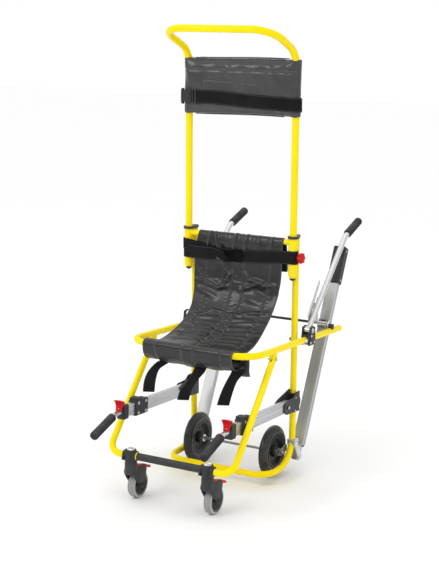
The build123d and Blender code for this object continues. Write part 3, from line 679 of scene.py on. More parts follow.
def build_weave():
    """Woven webbing: ribs of warp thread across the band, broken by the weft, in metres of the UV map."""
    tree, given, out = group("weave", [("UV", "Vector", None), ("Rib", "Float", .0022),
        ("Pick", "Float", .0016)], [("Height", "Float"), ("Shade", "Float")])
    split = add(tree, "SeparateXYZ", {"Vector": given["UV"]}).outputs
    across = math_node(tree, "DIVIDE", split["X"], given["Rib"])
    along = math_node(tree, "DIVIDE", split["Y"], given["Pick"])
    odd = math_node(tree, "MODULO", math_node(tree, "FLOOR", across), 2.0)
    along = plus(tree, along, times(tree, odd, .5))
    rib = math_node(tree, "SINE", times(tree, math_node(tree, "FRACT", across), math.pi))
    pick = math_node(tree, "SINE", times(tree, math_node(tree, "FRACT", along), math.pi))
    height = times(tree, math_node(tree, "ABSOLUTE", rib), math_node(tree, "ABSOLUTE", pick))
    tree.links.new(height, out["Height"])
    # The shade output is painted shade of the weave: the thread height, darkest in the gaps between the
    # threads.
    fuzz = noise(tree, given["UV"], 700.0, 3.0)
    tree.links.new(times(tree, height, spread(tree, fuzz, .3, .7, .6, 1.2)), out["Shade"])


build_weave()


def webbing_finish(name, dark=(.005, .005, .0055, 1), light=(.018, .018, .0195, 1), lines=()):
    """Polyester webbing: matt and ribbed, with painted shade between the threads, so that it is a little paler
    where the threads stand up.
    """
    material, tree, shader = finish(name, Specular_IOR_Level=.12)
    uv = add(tree, "UVMap").outputs["UV"]
    woven = use(tree, "weave", {"UV": uv})
    worn = use(tree, "patina", {"Vector": object_place(tree), "Scale": 12.0, "Rub": .2})
    # Painted shade: the dark tone between the threads, the light tone on their crowns.
    colour = blend_colour(tree, woven["Shade"], dark, light)
    colour = blend_colour(tree, times(tree, worn["Cloud"], .35), colour, (.026, .026, .028, 1))
    split = add(tree, "SeparateXYZ", {"Vector": uv}).outputs
    height = woven["Height"]
    for line in lines:
        row = use(tree, "stitch_row", {"Across": split["X"], "Along": split["Y"], "Line": line, "Pitch": .004})
        colour = blend_colour(tree, times(tree, row["Thread"], .7), colour, (.12, .12, .12, 1))
        height = plus(tree, height, row["Thread"])
    surface(tree, shader, colour, .88, height, .6)
    return material


def strap(name, route, width, thick, ups=None, sway=None):
    """A flat band along a route of points; ups gives the width direction at each point."""
    length, run = smooth_run(route, 12)
    ups = ups or [(0, 0, 1)] * len(route)
    spread_up = smooth_run(ups, 12)[1]
    knots = np.linspace(0, 1, len(run))
    rows = max(int(length[-1] / .006), 8)

    def place(across, along):
        share = np.interp(along * length[-1], length, knots)
        spot, up = (np.c_[[np.interp(share, knots, line[:, k]) for k in range(3)]].T
            for line in (run, spread_up))
        up /= np.linalg.norm(up, axis=1)[:, None]
        lean = (across - .5) * width
        if sway is not None:
            spot = spot + sway(across, along)
        return spot + up * lean[:, None]

    band, across, along = grid_sheet(name, 8, rows, place)
    lay_uv(band, across * width, along * length[-1])
    apply(band, "SOLIDIFY", thickness=thick, offset=0, use_even_offset=False)
    hold(band)
    bpy.ops.object.shade_smooth_by_angle(angle=math.radians(50))
    settle(band, name)
    return band, float(length[-1])


HEAD_FRONT = HEAD_BACK - HEAD_DEPTH
black_webbing = webbing_finish("black_webbing", lines=(.003, .049))


def head_wave(across, along):
    """The strap bellies a little off the cover between the points where it is sewn."""
    push = -.0022 * np.sin(np.pi * along) - .0012 * np.sin(along * 17 + across * 2)
    return np.c_[np.zeros_like(push), push, .0015 * np.sin(along * 9)]


HEAD_STRAP_WIDTH = .052
head_route = [(-.185, HEAD_FRONT - .0085, 1.456), (-.12, HEAD_FRONT - .008, 1.455),
    (-.02, HEAD_FRONT - .0078, 1.4515), (.09, HEAD_FRONT - .0078, 1.446), (.18, HEAD_FRONT - .0074, 1.441),
    (.226, HEAD_FRONT - .006, 1.439), (.2455, HEAD_FRONT + .003, 1.4385), (.2525, HEAD_BACK - .004, 1.4385)]
head_strap, head_strap_length = strap("head_strap", head_route, HEAD_STRAP_WIDTH, .0018, sway=head_wave)
dress(head_strap, black_webbing, "upper_handle", ["headrest_strap"])


def stand(spot, along, across=(1, 0, 0)):
    """A placing matrix: local Z points along, local X as near to across as it can."""
    z = Vector(along).normalized()
    if abs(z.dot(Vector(across))) > .99:
        across = (0, 1, 0)
    y = z.cross(Vector(across)).normalized()
    return Matrix.Translation(spot) @ Matrix((y.cross(z), y, z)).transposed().to_4x4()


def face_out():
    """Turns all faces of the mesh in edit mode outwards and leaves edit mode."""
    bpy.ops.mesh.select_all(action="SELECT")
    bpy.ops.mesh.normals_make_consistent(inside=False)
    bpy.ops.object.mode_set(mode="OBJECT")


def slab(name, outline, depth, place, round_to, segments=2):
    """A flat outline (local X and Y) drawn out along local Z about its middle, with rounded edges."""
    clear()
    bpy.ops.mesh.primitive_circle_add(vertices=len(outline), radius=1, fill_type="NGON")
    piece = bpy.context.object
    write_points(piece.data, [(x, y, -depth / 2) for x, y in outline])
    bpy.ops.object.mode_set(mode="EDIT")
    bpy.ops.mesh.select_all(action="SELECT")
    bpy.ops.mesh.extrude_region_move(TRANSFORM_OT_translate={"value": (0, 0, depth)})
    face_out()
    if round_to:
        apply(piece, "BEVEL", width=round_to, segments=segments, limit_method="ANGLE",
            angle_limit=math.radians(40))
    piece.matrix_world = place
    return settle(piece, name)


def turned(name, profile, place, sides=40, ring=False):
    """A lathe-turned solid: a circle drawn out along local Z and resized at each (distance, radius).
    A ring's profile is closed round on itself."""
    clear()
    distance, radius = profile[0]
    fill = "NOTHING" if ring else "NGON"
    bpy.ops.mesh.primitive_circle_add(vertices=sides, radius=radius, fill_type=fill, location=(0, 0, distance))
    piece = bpy.context.object
    bpy.ops.object.transform_apply(location=True, rotation=False, scale=False)
    bpy.ops.object.mode_set(mode="EDIT")
    bpy.ops.mesh.select_mode(type="EDGE" if ring else "FACE")
    bpy.ops.mesh.select_all(action="SELECT")
    draw_out = bpy.ops.mesh.extrude_edges_move if ring else bpy.ops.mesh.extrude_region_move
    for (z0, r0), (z1, r1) in zip(profile, profile[1:] + (profile[:1] if ring else [])):
        draw_out(TRANSFORM_OT_translate={"value": (0, 0, z1 - z0)})
        grow = r1 / r0
        bpy.ops.transform.resize(value=(grow, grow, 1), center_override=(0, 0, z1))
    bpy.ops.mesh.select_all(action="SELECT")
    bpy.ops.mesh.remove_doubles(threshold=1e-6)
    face_out()
    piece.matrix_world = place
    return settle(piece, name)


def cut(piece, *tools):
    """Cuts tools out of a piece and throws them away."""
    for tool in tools:
        apply(piece, "BOOLEAN", operation="DIFFERENCE", solver="EXACT", object=tool)
        bpy.data.objects.remove(tool, do_unlink=True)
    return piece


def mirrored(piece, name):
    """A copy of a piece for the sitter's other side, mirrored in X with its own mesh."""
    hold(piece)
    other = piece.copy()
    other.data = piece.data.copy()
    bpy.context.collection.objects.link(other)
    other.scale.x = -1
    settle(other, name)
    hold(other)
    bpy.ops.object.mode_set(mode="EDIT")
    face_out()
    return other


def paler(tint, times_over):
    return (*[min(c * times_over, 1) for c in tint[:3]], 1)


def plastic_finish(name, tone, light, rough=.42, grain=900.0, depth=.12, rub=.25, rubbed=None, shine=.28):
    """Injection moulding: fine spark-etched grain, clouded gloss, paler rubbed edges, a little dust."""
    material, tree, shader = finish(name, IOR=1.47, Specular_IOR_Level=shine)
    where = object_place(tree)
    etched = use(tree, "pebble", {"Vector": where, "Scale": grain})
    worn = use(tree, "patina", {"Vector": where, "Scale": 14.0, "Rub": rub})
    dusty = use(tree, "dust", {"Vector": where, "Amount": .16})
    colour = blend_colour(tree, worn["Cloud"], tone, light)
    colour = blend_colour(tree, worn["Edge"], colour, rubbed or paler(light, 3.2))
    colour = blend_colour(tree, dusty["Mask"], colour, (.24, .235, .22, 1))
    matt = plus(tree, spread(tree, worn["Cloud"], 0, 1, rough, rough + .12), dusty["Mask"])
    surface(tree, shader, colour, matt, etched["Height"], depth)
    return material


black_moulding = plastic_finish("black_moulding", (.022, .022, .024, 1), (.036, .036, .039, 1))


def oblong(x0, y0, x1, y1):
    return [(x0, y0), (x1, y0), (x1, y1), (x0, y1)]


def build_buckle():
    """Side-release buckle: a socket with open sides, the two spring arms of the plug and its strap bar."""
    at = stand((-.211, HEAD_FRONT - .0085, 1.4562), (0, -1, 0)) @ Matrix.Diagonal((1.08, 1.25, 1, 1))
    socket = slab("socket", [(-.028, -.024), (.006, -.024), (.01, -.019), (.01, .019), (.006, .024),
        (-.028, .024), (-.031, .019), (-.031, -.019)], .0095, at, .0022, 3)
    windows = [slab("window", [(-.022, s * .0265), (-.002, s * .0265), (-.004, s * .0165), (-.02, s * .0165)],
        .02, at, 0) for s in (-1, 1)]
    cut(socket, *windows)
    plug = slab("plug", [(.012, -.022), (.028, -.022), (.03, -.019), (.03, .019), (.028, .022), (.012, .022)],
        .007, at, .0015)
    cut(plug, slab("gap", oblong(.018, -.0175, .0235, .0175), .02, at, 0))
    arms = [slab("arm", [(-.018, s * .0215), (-.008, s * .0225), (.012, s * .0205), (.012, s * .017),
        (-.01, s * .018)], .006, at, .0012) for s in (-1, 1)]
    ridge = slab("ridge", oblong(-.024, -.0135, .004, .0135), .0022, at @ Matrix.Translation((0, 0, .0052)),
        .0008)
    return joined("head_buckle", socket, plug, *arms, ridge)


dress(build_buckle(), black_moulding, "upper_handle", ["headrest_buckle"], 35)
paint_nodes(black_moulding, "sleeve_caps", "handle_plugs")


def edge_roll(name, rise, inset):
    """Bound edge of the cover between the tubes, front and back."""
    rims = []
    for side in (-1, 1):
        x = np.linspace(-.188, .188, 40)
        depth = HEAD_DEPTH * (.66 + .1 * np.clip((np.abs(x) - .16) / .03, 0, 1)) + .0004
        z = HEAD_LOW + rise * (HEAD_HIGH - HEAD_LOW) + inset + .0022 * np.sin(x * 11 + .6)
        rims.append(np.c_[x, HEAD_BACK + side * depth, z])
    return bound_edge(name, rims, .0022)


head_edging = joined("head_edging", edge_roll("upper_edge", 1, -.003), edge_roll("lower_edge", 0, .003))
dress(head_edging, binding_tape, "upper_handle")

# ---- headrest patch ----
# A blank rectangle of darker coated cloth on the front of the cover, half under the head strap.  A row
# of stitches holds it close to each of its edges.


def patch_place(across, along):
    x = -.15 + .268 * across
    z = 1.47 + .052 * along - .014 * across
    return np.c_[x, np.full_like(x, HEAD_FRONT - .006) - .0008 * np.sin(x * 40), z]


patch, patch_across, patch_along = grid_sheet("head_patch", 30, 6, patch_place)
lay_uv(patch, patch_across * .268, patch_along * .052)
apply(patch, "SOLIDIFY", thickness=.0012, offset=0)
patch_cloth = vinyl_finish("patch_cloth", (.003, .265), (.003, .049), tone=(.036, .036, .038, 1),
    light=(.05, .05, .053, 1))
dress(patch, patch_cloth, "upper_handle", smooth_angle=40)

# ---- chest strap ----
# One long piece of the same webbing laid round the outside of both sleeves, drawn across in front of
# the sling and lapped in the middle, where a matt fastening patch shows in the fold.
SLEEVE_X, SLEEVE_Y, STRAP_RING = .227, .0679, .0195
CHEST_Z, CHEST_WIDTH = .868, .051
LEFT_WIDTH, TAIL_WIDTH = CHEST_WIDTH + .002, CHEST_WIDTH * .8


def round_sleeve(side, turns, z, ring=STRAP_RING):
    """Points round the outside of one sleeve, at angles in degrees from straight ahead."""
    return [(side * (SLEEVE_X + ring * math.sin(math.radians(a))), SLEEVE_Y - ring * math.cos(math.radians(a)),
        z) for a in turns]


FRONT_Y = SLEEVE_Y - STRAP_RING
right_route = round_sleeve(1, (150, 115, 80, 45, 15), CHEST_Z)
right_route += [(.205, FRONT_Y - .001, CHEST_Z), (.14, FRONT_Y - .003, CHEST_Z - .003),
    (.07, FRONT_Y - .0045, CHEST_Z - .007), (0.0, FRONT_Y - .006, CHEST_Z - .011),
    (-.045, FRONT_Y - .0065, CHEST_Z - .013), (-.075, FRONT_Y - .006, CHEST_Z - .014)]
left_route = round_sleeve(-1, (150, 115, 80, 45, 15), CHEST_Z - .014)
left_route += [(-.205, FRONT_Y - .004, CHEST_Z - .014), (-.165, FRONT_Y - .008, CHEST_Z - .013),
    (-.12, FRONT_Y - .011, CHEST_Z - .011), (-.085, FRONT_Y - .014, CHEST_Z - .011),
    (-.062, FRONT_Y - .016, CHEST_Z - .014), (-.04, FRONT_Y - .015, CHEST_Z - .018)]
left_ups = [(0, 0, 1)] * 7 + [(-.04, -.06, 1), (-.18, -.2, 1), (-.42, -.34, 1), (-.6, -.4, 1)]


def chest_wave(across, along):
    """Slack ripples, and the stretch in front of the knob held off it."""
    push = -.0016 * np.sin(along * 13 + across * 2.5) * np.clip((along - .25) / .2, 0, 1)
    return np.c_[np.zeros_like(push), push, .0012 * np.sin(along * 8)]


chest_right, right_length = strap("chest_strap_right", right_route, CHEST_WIDTH, .0019, sway=chest_wave)
chest_left, left_length = strap("chest_strap_left", left_route, LEFT_WIDTH, .0019, ups=left_ups,
    sway=chest_wave)
tail_route = round_sleeve(-1, (140, 100, 60, 25), CHEST_Z + .015, .0215)
tail_route += [(-.214, FRONT_Y - .0022, CHEST_Z + .0145), (-.18, FRONT_Y - .004, CHEST_Z + .01),
    (-.15, FRONT_Y - .005, CHEST_Z + .004), (-.118, FRONT_Y - .0055, CHEST_Z - .003)]
chest_tail, tail_length = strap("chest_strap_tail", tail_route, TAIL_WIDTH, .0016)
chest_webbing = webbing_finish("chest_webbing", (.006, .006, .0065, 1), (.021, .021, .0225, 1),
    lines=(.0025, .0485))
for piece, run, wide in ((chest_right, right_length, CHEST_WIDTH), (chest_left, left_length, LEFT_WIDTH),
        (chest_tail, tail_length, TAIL_WIDTH)):
    dress(piece, chest_webbing, "back_frame")
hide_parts("chest_strap")
fastening_route = [(-.052, FRONT_Y - .0096, CHEST_Z - .014), (-.016, FRONT_Y - .0094, CHEST_Z - .012),
    (.024, FRONT_Y - .0087, CHEST_Z - .01)]
fastening, fastening_length = strap("chest_fastening", fastening_route, .046, .0022)
looped_pile = webbing_finish("looped_pile", (.001, .001, .0011, 1), (.002, .002, .0022, 1))
dress(fastening, looped_pile, "back_frame")

# ---- leg straps ----
# Three webbing tails sewn under the seat's front roll.  They hang free and sweep a little backwards
# and to the side, curling as webbing does that has been stored folded.
LEG_STRAPS = {"right": [(.192, .513, -.286), (.185, .494, -.294), (.169, .462, -.307), (.158, .422, -.32),
    (.148, .38, -.326)], "middle": [(.044, .506, -.306), (.04, .488, -.314), (.022, .455, -.33),
    (0.0, .418, -.338), (-.013, .378, -.338)], "left": [(-.106, .506, -.304), (-.124, .494, -.312),
    (-.146, .468, -.328), (-.154, .432, -.34), (-.157, .389, -.345)]}
LEG_STRAP_WIDTH = .048
for name, points in LEG_STRAPS.items():
    route = [(x, y, z) for x, z, y in points]
    ups = [(1, .05, 0), (1, .1, .08), (1, .15, .3), (1, .2, .22), (1, .1, .1)]
    tail, tail_run = strap(f"leg_strap_{name}", route, LEG_STRAP_WIDTH, .0019, ups=ups)
    dress(tail, black_webbing, "seat_frame")
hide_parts("hanging_straps")

# ---- lock knob ----
# Six-lobed clamp knob moulded in red plastic round a plated stud, which goes through the sleeve and
# presses on the handle tube inside it.
red_moulding = plastic_finish("red_moulding", (.56, .006, .01, 1), (.66, .012, .016, 1), .34, 700.0, .05, .25,
    (.75, .1, .09, 1), .12)


def build_knob():
    """Lobed head with a domed face, a waist towards the sleeve and a recessed cap."""
    outline = []
    for step in range(72):
        angle = math.tau * step / 72
        radius = .0182 + .0026 * math.cos(6 * angle)
        outline.append((radius * math.cos(angle), radius * math.sin(angle)))


    def out_at(distance):
        return stand((SLEEVE_X + .0207 + distance, SLEEVE_Y, CHEST_Z), (1, 0, 0), (0, 1, 0))

    head = slab("knob_head", outline, .019, out_at(.0135), .0028, 4)
    waist = turned("knob_waist", [(0, .0085), (.003, .0085), (.007, .013)], out_at(-.0008), 32)
    cap = turned("knob_cap", [(0, .0075), (.0012, .0075), (.002, .0066), (.0024, .004), (.0025, .0008)],
        out_at(.0225), 32)
    return joined("knob", head, waist, cap)


dress(build_knob(), red_moulding, "lock_knob", ["lock_knob"], 40)

# ---- side profiles, clamps and brackets ----
# Grooved aluminium extrusions hinged in black brackets on the uprights and held to the front legs by
# two-part moulded clamps, each closed with plated cap screws.


def metal_finish(name, tone, light, along, rough, lines=900.0, depth=.08, rub=.4):
    """Drawn or extruded metal: fine lines along one direction, soft cloudy wear and small marks."""
    material, tree, shader = finish(name, Metallic=1.0)
    turn = Vector(along).normalized().rotation_difference(Vector((0, 0, 1))).to_euler()
    where = object_place(tree, turn=tuple(turn))
    drawn = use(tree, "drawn_lines", {"Vector": where, "Scale": lines})
    worn = use(tree, "patina", {"Vector": where, "Scale": 10.0, "Rub": rub})
    colour = blend_colour(tree, drawn["Streak"], tone, light)
    colour = blend_colour(tree, times(tree, worn["Speck"], .1), colour, (.32, .32, .32, 1))
    colour = blend_colour(tree, worn["Edge"], colour, (.95, .95, .95, 1))
    gloss = plus(tree, spread(tree, worn["Cloud"], 0, 1, rough, rough + .08), times(tree, worn["Speck"], .05))
    surface(tree, shader, colour, gloss, drawn["Height"], depth)
    return material


PROFILE_HINGE = Vector((0, .0209, .293))
PROFILE_RUN = Vector((0, -.363, .023))
PROFILE_X = .226
ALLOY, ALLOY_LIGHT = (.6, .61, .62, 1), (.78, .79, .8, 1)
STEEL, STEEL_LIGHT = (.55, .55, .56, 1), (.74, .74, .75, 1)
profile_alloy = metal_finish("profile_alloy", (.48, .49, .5, 1), (.64, .65, .66, 1), PROFILE_RUN, .42,
    depth=.05, rub=0.0)
bright_steel = metal_finish("bright_steel", STEEL, STEEL_LIGHT, (1, 0, 0), .24, 1400.0, .04)
cap_steel = metal_finish("cap_steel", (.74, .74, .75, 1), (.9, .9, .91, 1), (0, 0, 1), .22, 700.0, .02)
dark_steel = metal_finish("dark_steel", (.22, .22, .225, 1), (.3, .3, .305, 1), (1, 0, 0), .36, 1200.0, .03, .1)
paint_nodes(profile_alloy, "side_profiles")
paint_nodes(black_moulding, "profile_brackets", "profile_collars", "profile_clamps", "handle_brackets",
    "front_bar")
paint_nodes(bright_steel, "seat_bolts", "leg_bolts")


def cap_screw(name, spot, out, radius, height, washer=True):
    """Socket-head screw: a head with a rounded rim and a round recess, on a thin washer."""
    at = stand(spot, out, (0, 0, 1))
    shape = ((0, 1), (.8, 1), (1, .88), (1, .52), (.45, .5), (.45, .05))
    head = turned(name, [(height * rise, radius * share) for rise, share in shape], at, 18)
    if not washer:
        return head
    return joined(name, head, turned("washer", [(-.0002, radius * 1.45), (.0008, radius * 1.45),
        (.001, radius * 1.35)], at, 20))


def at_profile(side, distance, outward=0.0, height=0.0):
    """A point on a profile: distance forward from its hinge, outward in X, height across it."""
    forward = PROFILE_RUN.normalized()
    upward = Vector((0, -forward.z, forward.y)) * -1
    return Vector((side * (PROFILE_X + outward), 0, 0)) + PROFILE_HINGE + forward * distance + upward * height


CLAMP_MIDDLE = .3297  # along the profile, from its hinge
for side, hand in ((1, "right"), (-1, "left")):
    fresh = []
    for face in (-1, 1):
        for along in (-.025, .025):
            for height in (-.019, .019):
                spot = at_profile(side, CLAMP_MIDDLE + along, face * .018, height)
                fresh.append(cap_screw("clamp_screw", spot, (side * face, 0, 0), .0042, .003))
    dress(joined(f"clamp_screws_{hand}", *fresh), bright_steel, "profile_clamps", smooth_angle=35)

bracket_screws = []
for side in (1, -1):
    for distance, height, radius in ((0.0, 0.0, .0065), (-.062, .026, .0038), (-.062, -.024, .0038)):
        spot = at_profile(side, distance, .0172 if distance else .0202, height)
        bracket_screws.append(cap_screw("bracket_screw", spot, (side, 0, 0), radius, .0022, washer=False))
dress(joined("bracket_screws", *bracket_screws), bright_steel, "back_frame", smooth_angle=35)

# ---- front lifting handles ----
# Plated tubes that draw out of the profiles, each with a ribbed rubber grip, and a red thumb latch on
# the nose of the black end collar.
GRIP_RADIUS = .0165


def grip_profile(length, radius, ribs):
    """Turning profile of a hand grip: a collar, shallow finger ribs and a domed end."""
    profile = [(0, .74), (.0015, .97), (.006, 1), (.01, 1), (.0115, .955)]
    start, end = .0135, length - .017
    step = (end - start) / ribs
    for rib in range(ribs):
        z = start + rib * step
        profile += [(z, .955), (z + step * .16, .985), (z + step * .72, .985), (z + step * .86, .955)]
    profile += [(end, .955), (end + .0015, 1), (length - .009, 1), (length - .004, .92), (length - .0012, .74),
        (length, .45), (length + .0002, .06)]
    return [(z, radius * share) for z, share in profile]


def rubber_finish(name, tone, light, grain=520.0, depth=.28):
    """Moulded rubber: matt, pebbled, greyed where hands or floors rub it, with dust on faces that look up."""
    material, tree, shader = finish(name, IOR=1.45, Specular_IOR_Level=.2)
    where = object_place(tree)
    grained = use(tree, "pebble", {"Vector": where, "Scale": grain})
    worn = use(tree, "patina", {"Vector": where, "Scale": 16.0, "Rub": .55})
    dusty = use(tree, "dust", {"Vector": where, "Amount": .22})
    colour = blend_colour(tree, worn["Cloud"], tone, light)
    colour = blend_colour(tree, worn["Edge"], colour, paler(light, 2.4))
    colour = blend_colour(tree, dusty["Mask"], colour, (.3, .29, .27, 1))
    surface(tree, shader, colour, spread(tree, worn["Cloud"], 0, 1, .72, .86), grained["Height"], depth)
    return material


grip_rubber = rubber_finish("grip_rubber", (.02, .02, .022, 1), (.042, .042, .044, 1))
tube_alloy = metal_finish("tube_alloy", ALLOY, ALLOY_LIGHT, (0, -.4, .4), .26)
FRONT_TIP = Vector((PROFILE_X, -.6061, .279))
front_run = (FRONT_TIP - at_profile(1, .488)).normalized()
front_grip = turned("front_grip_R", grip_profile(.134, GRIP_RADIUS, 9),
    stand(FRONT_TIP - front_run * .13, front_run))

LATCH_AT = .463  # along the profile, from its hinge
LYING = Euler((0, math.pi / 2, 0)).to_matrix().to_4x4()  # lays a turned piece along X


def latch_place(distance, height):
    """Placing matrix on the collar: local X across the tube, Y up, Z forward along the profile."""
    forward = PROFILE_RUN.normalized()
    upward = (at_profile(1, LATCH_AT, 0, .01) - at_profile(1, LATCH_AT)).normalized()
    turn = Matrix((upward.cross(forward), upward, forward)).transposed().to_4x4()
    return Matrix.Translation(at_profile(1, LATCH_AT + distance, 0, height)) @ turn


def whole(half, *crown):
    """A turning profile from the half that is given, with the points on its middle plane."""
    return [(-z, r) for z, r in half] + [*crown] + half[::-1]


def build_thumb_latch():
    """A standing spade, flared towards its rounded top and hollowed in front, whose two feet straddle
    the plated tongue; a hinge pin runs through the feet."""
    at = latch_place(.001, .012) @ Matrix.Rotation(math.radians(-10), 4, "X")
    spade = [(-.0115, -.006), (-.005, -.006), (-.0046, .005), (.0046, .005), (.005, -.006), (.0115, -.006),
        (.0122, .007), (.015, .017), (.0205, .027), (.0208, .0325), (.014, .0345), (0.0, .0352), (-.014, .0345),
        (-.0208, .0325), (-.0205, .027), (-.015, .017), (-.0122, .007)]
    body = slab("spade", spade, .007, at, .0018, 3)
    hollow = [(-.0075, .011), (.0075, .011), (.011, .021), (.014, .028), (.009, .0304), (0.0, .0312),
        (-.009, .0304), (-.014, .028), (-.011, .021)]
    cut(body, slab("hollow", hollow, .003, at @ Matrix.Translation((0, 0, .004)), 0))
    lip = slab("lip", [(-.0196, .0322), (-.019, .0292), (0.0, .0306), (.019, .0292), (.0196, .0322),
        (.013, .0346), (0.0, .0352), (-.013, .0346)], .019, at @ Matrix.Translation((0, 0, .005)), .0018, 3)
    ribs = [slab("rib", oblong(-.0085, y, .0085, y + .0013), .005, at @ Matrix.Translation((0, 0, .0015)),
        .0005) for y in (.014, .018, .022)]
    hinge = turned("hinge", whole([(.0122, .003), (.0116, .0036)]), latch_place(.001, .0125) @ LYING, 16)
    return joined("front_latch_R", body, lip, *ribs, hinge)


def even(half, *crown):
    """An outline that is the same on both sides, from its right half and the points in the middle."""
    return half + [*crown] + [(-x, y) for x, y in half[::-1]]


latch_tongue = slab("latch_tongue_R", even([(.0036, -.015), (.0036, 0.0)], (0.0, .003)), .003,
    latch_place(.001, .015), .0008)


def both_sides(piece, material, body, node=None, angle=35):
    """Dresses a right-hand piece and its mirrored copy; a pair of braces in body takes the side's name."""
    other = mirrored(piece, piece.name[:-1] + "L")
    for hand, twin in (("right", piece), ("left", other)):
        dress(twin, material, body.format(hand), [f"{node}_{hand}"] if node else [], angle)


both_sides(front_grip, grip_rubber, "front_handle_{}", "front_grip", 40)
both_sides(build_thumb_latch(), red_moulding, "front_lever_{}", "front_lever", 40)
both_sides(latch_tongue, cap_steel, "front_lever_{}", angle=40)
paint_nodes(tube_alloy, "front_handle_right", "front_handle_left")

# ---- castor housings and front bar ----
# Black moulded sockets clamp the painted front bar to the legs' ends and take each castor's stem,
# which a plated cap closes.  One clamp leaves a sliver of the yellow tube showing.
STEM_X, STEM_Y = .162, -.4601
SOCKET_Z = .176
STEM = Matrix.Translation((STEM_X, STEM_Y, 0))


def side_view(x):
    """Placing matrix for an outline in the object's Y and Z, drawn out along X."""
    return Matrix.Translation((x, 0, 0)) @ Matrix(((0, 0, 1, 0), (1, 0, 0, 0), (0, 1, 0, 0), (0, 0, 0, 1)))


def arc(centre, radius, start, end, count):
    """Outline points round a centre, between two angles in degrees."""
    return [(centre[0] + radius * math.cos(math.radians(a)), centre[1] + radius * math.sin(math.radians(a)))
        for a in np.linspace(start, end, count)]


def build_housing():
    boss = turned("boss", [(.1542, .02), (.1556, .0222), (.1572, .023), (.1905, .023), (.1918, .0218),
        (.195, .0218), (.1962, .0208), (.199, .019), (.199, .016)], STEM, 56)
    along = stand((STEM_X, STEM_Y, SOCKET_Z), (1, 0, 0))
    socket = turned("socket", whole([(.027, .0168), (.0262, .0194), (.0175, .0194), (.0166, .018)]), along, 48)
    lugs = []
    for offset in (-.0219, .0219):
        outline = [(STEM_Y - .0235, SOCKET_Z - .015), (STEM_Y - .012, SOCKET_Z - .0185),
            (STEM_Y - .01, SOCKET_Z - .002), (STEM_Y - .0235, SOCKET_Z - .003)]
        lugs.append(slab("lug", outline, .0082, side_view(STEM_X + offset), .0016, 3))
        lugs.append(cap_screw("lug_screw", (STEM_X + offset, STEM_Y - .0185, SOCKET_Z - .0028), (0, 0, 1), .003,
            .0024, washer=False))
    return joined("castor_housing_R", boss, socket, *lugs)


housing = build_housing()
caps = [turned("stem_cap", [(.1986, .015), (.2004, .015), (.2024, .0142), (.204, .012), (.2049, .008),
    (.2052, .003), (.2052, .0005)], Matrix.Translation((side * STEM_X, STEM_Y, 0)), 40) for side in (1, -1)]
stem_caps = joined("stem_caps", *caps)
both_sides(housing, black_moulding, "front_legs")
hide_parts("castor_housings")
dress(stem_caps, cap_steel, "front_legs", smooth_angle=40)
SLIVER_ARC = (70, 215)
sliver_outline = arc((STEM_Y, SOCKET_Z), .0156, *SLIVER_ARC, 16) + arc((STEM_Y, SOCKET_Z), .014,
    *SLIVER_ARC[::-1], 16)
sliver = slab("bar_sliver", sliver_outline, .0036, side_view(-.133), .0004)
dress(sliver, yellow_coat, "front_legs", smooth_angle=35)

# ---- castors ----
# Nylon fork that trails from a ball race, two broad cheeks bolted through the wheel, a grey rubber tyre
# on a ribbed disc, and a red foot pedal hinged between the cheeks.
AXLE_SPOT = (-.4141, .0515)
CHEEK = .0196  # from the wheel's middle to the middle of a cheek
castor_place = stand((STEM_X, *AXLE_SPOT), (1, 0, 0))


def build_fork():
    head = turned("head", [(.102, .01), (.103, .0165), (.1075, .0212), (.115, .023), (.135, .023),
        (.1364, .022), (.139, .022), (.1404, .023), (.148, .0228), (.1506, .0216), (.1538, .0216),
        (.1546, .019)], STEM, 56)
    cheek = [(-.47, .129), (-.476, .112), (-.466, .093), (-.448, .069)] + arc(AXLE_SPOT, .0148, 165, 350, 14)
    cheek += [(-.396, .068), (-.389, .088), (-.385, .106), (-.386, .119), (-.393, .1265), (-.41, .1305),
        (-.44, .131)]
    cheeks = []
    raised = [(-.464, .121), (-.468, .112), (-.459, .0975), (-.442, .075)] + arc(AXLE_SPOT, .0108, 150, 20, 10)
    raised += [(-.398, .088), (-.393, .104), (-.395, .116), (-.405, .122)]
    for offset in (-CHEEK, CHEEK):
        cheeks.append(slab("cheek", cheek, .004, side_view(STEM_X + offset), .0012, 3))
        cheeks.append(slab("panel", raised, .0012, side_view(STEM_X + offset + math.copysign(.0022, offset)),
            .0005, 2))
    bridge = [(-.469, .1285), (-.474, .112), (-.468, .105), (-.456, .1075), (-.444, .113), (-.433, .117),
        (-.43, .1285)]
    crown = slab("crown", bridge, 2 * CHEEK + .001, side_view(STEM_X), .0016, 3)
    spacer = turned("spacer", whole([(.0182, .0085), (.0172, .0095)]),
        Matrix.Translation((STEM_X, *AXLE_SPOT)) @ LYING, 20)
    return joined("castor_fork_R", head, *cheeks, crown, spacer)


def build_bolt():
    """Axle bolt head and nut on the cheeks."""
    heads = []
    for out in (-1, 1):
        at = stand((STEM_X + out * (CHEEK + .0014), *AXLE_SPOT), (out, 0, 0), (0, 0, 1))
        heads.append(turned("hexagon", [(0.0, .0074), (.0038, .0074), (.0046, .0064), (.0046, .004),
            (.0058, .0036), (.006, .0004)], at, 6))
        heads.append(turned("washer", [(-.0002, .0092), (.0008, .0092), (.001, .0086)], at, 28))
    return joined("castor_bolts_R", *heads)


def ribs_round(x, axle, radius, count, phase, outline, depth, edge):
    """Like ribs standing between the hub and the rim."""
    ribs = []
    for spoke in range(count):
        turn = math.tau * (spoke + phase) / count
        outward = Vector((0, math.cos(turn), math.sin(turn)))
        place = stand(Vector((x, *axle)) + outward * radius, (1, 0, 0), outward)
        ribs.append(slab("rib", outline, depth, place, edge))
    return ribs


def build_castor_tyre():
    half = [(.015, .038), (.015, .0448), (.0143, .0453), (.0143, .046), (.0149, .0466), (.0144, .0482),
        (.0124, .0501), (.0082, .0511)]
    return turned("castor_tyre_R", whole(half, (0, .0515)), castor_place, 72, ring=True)


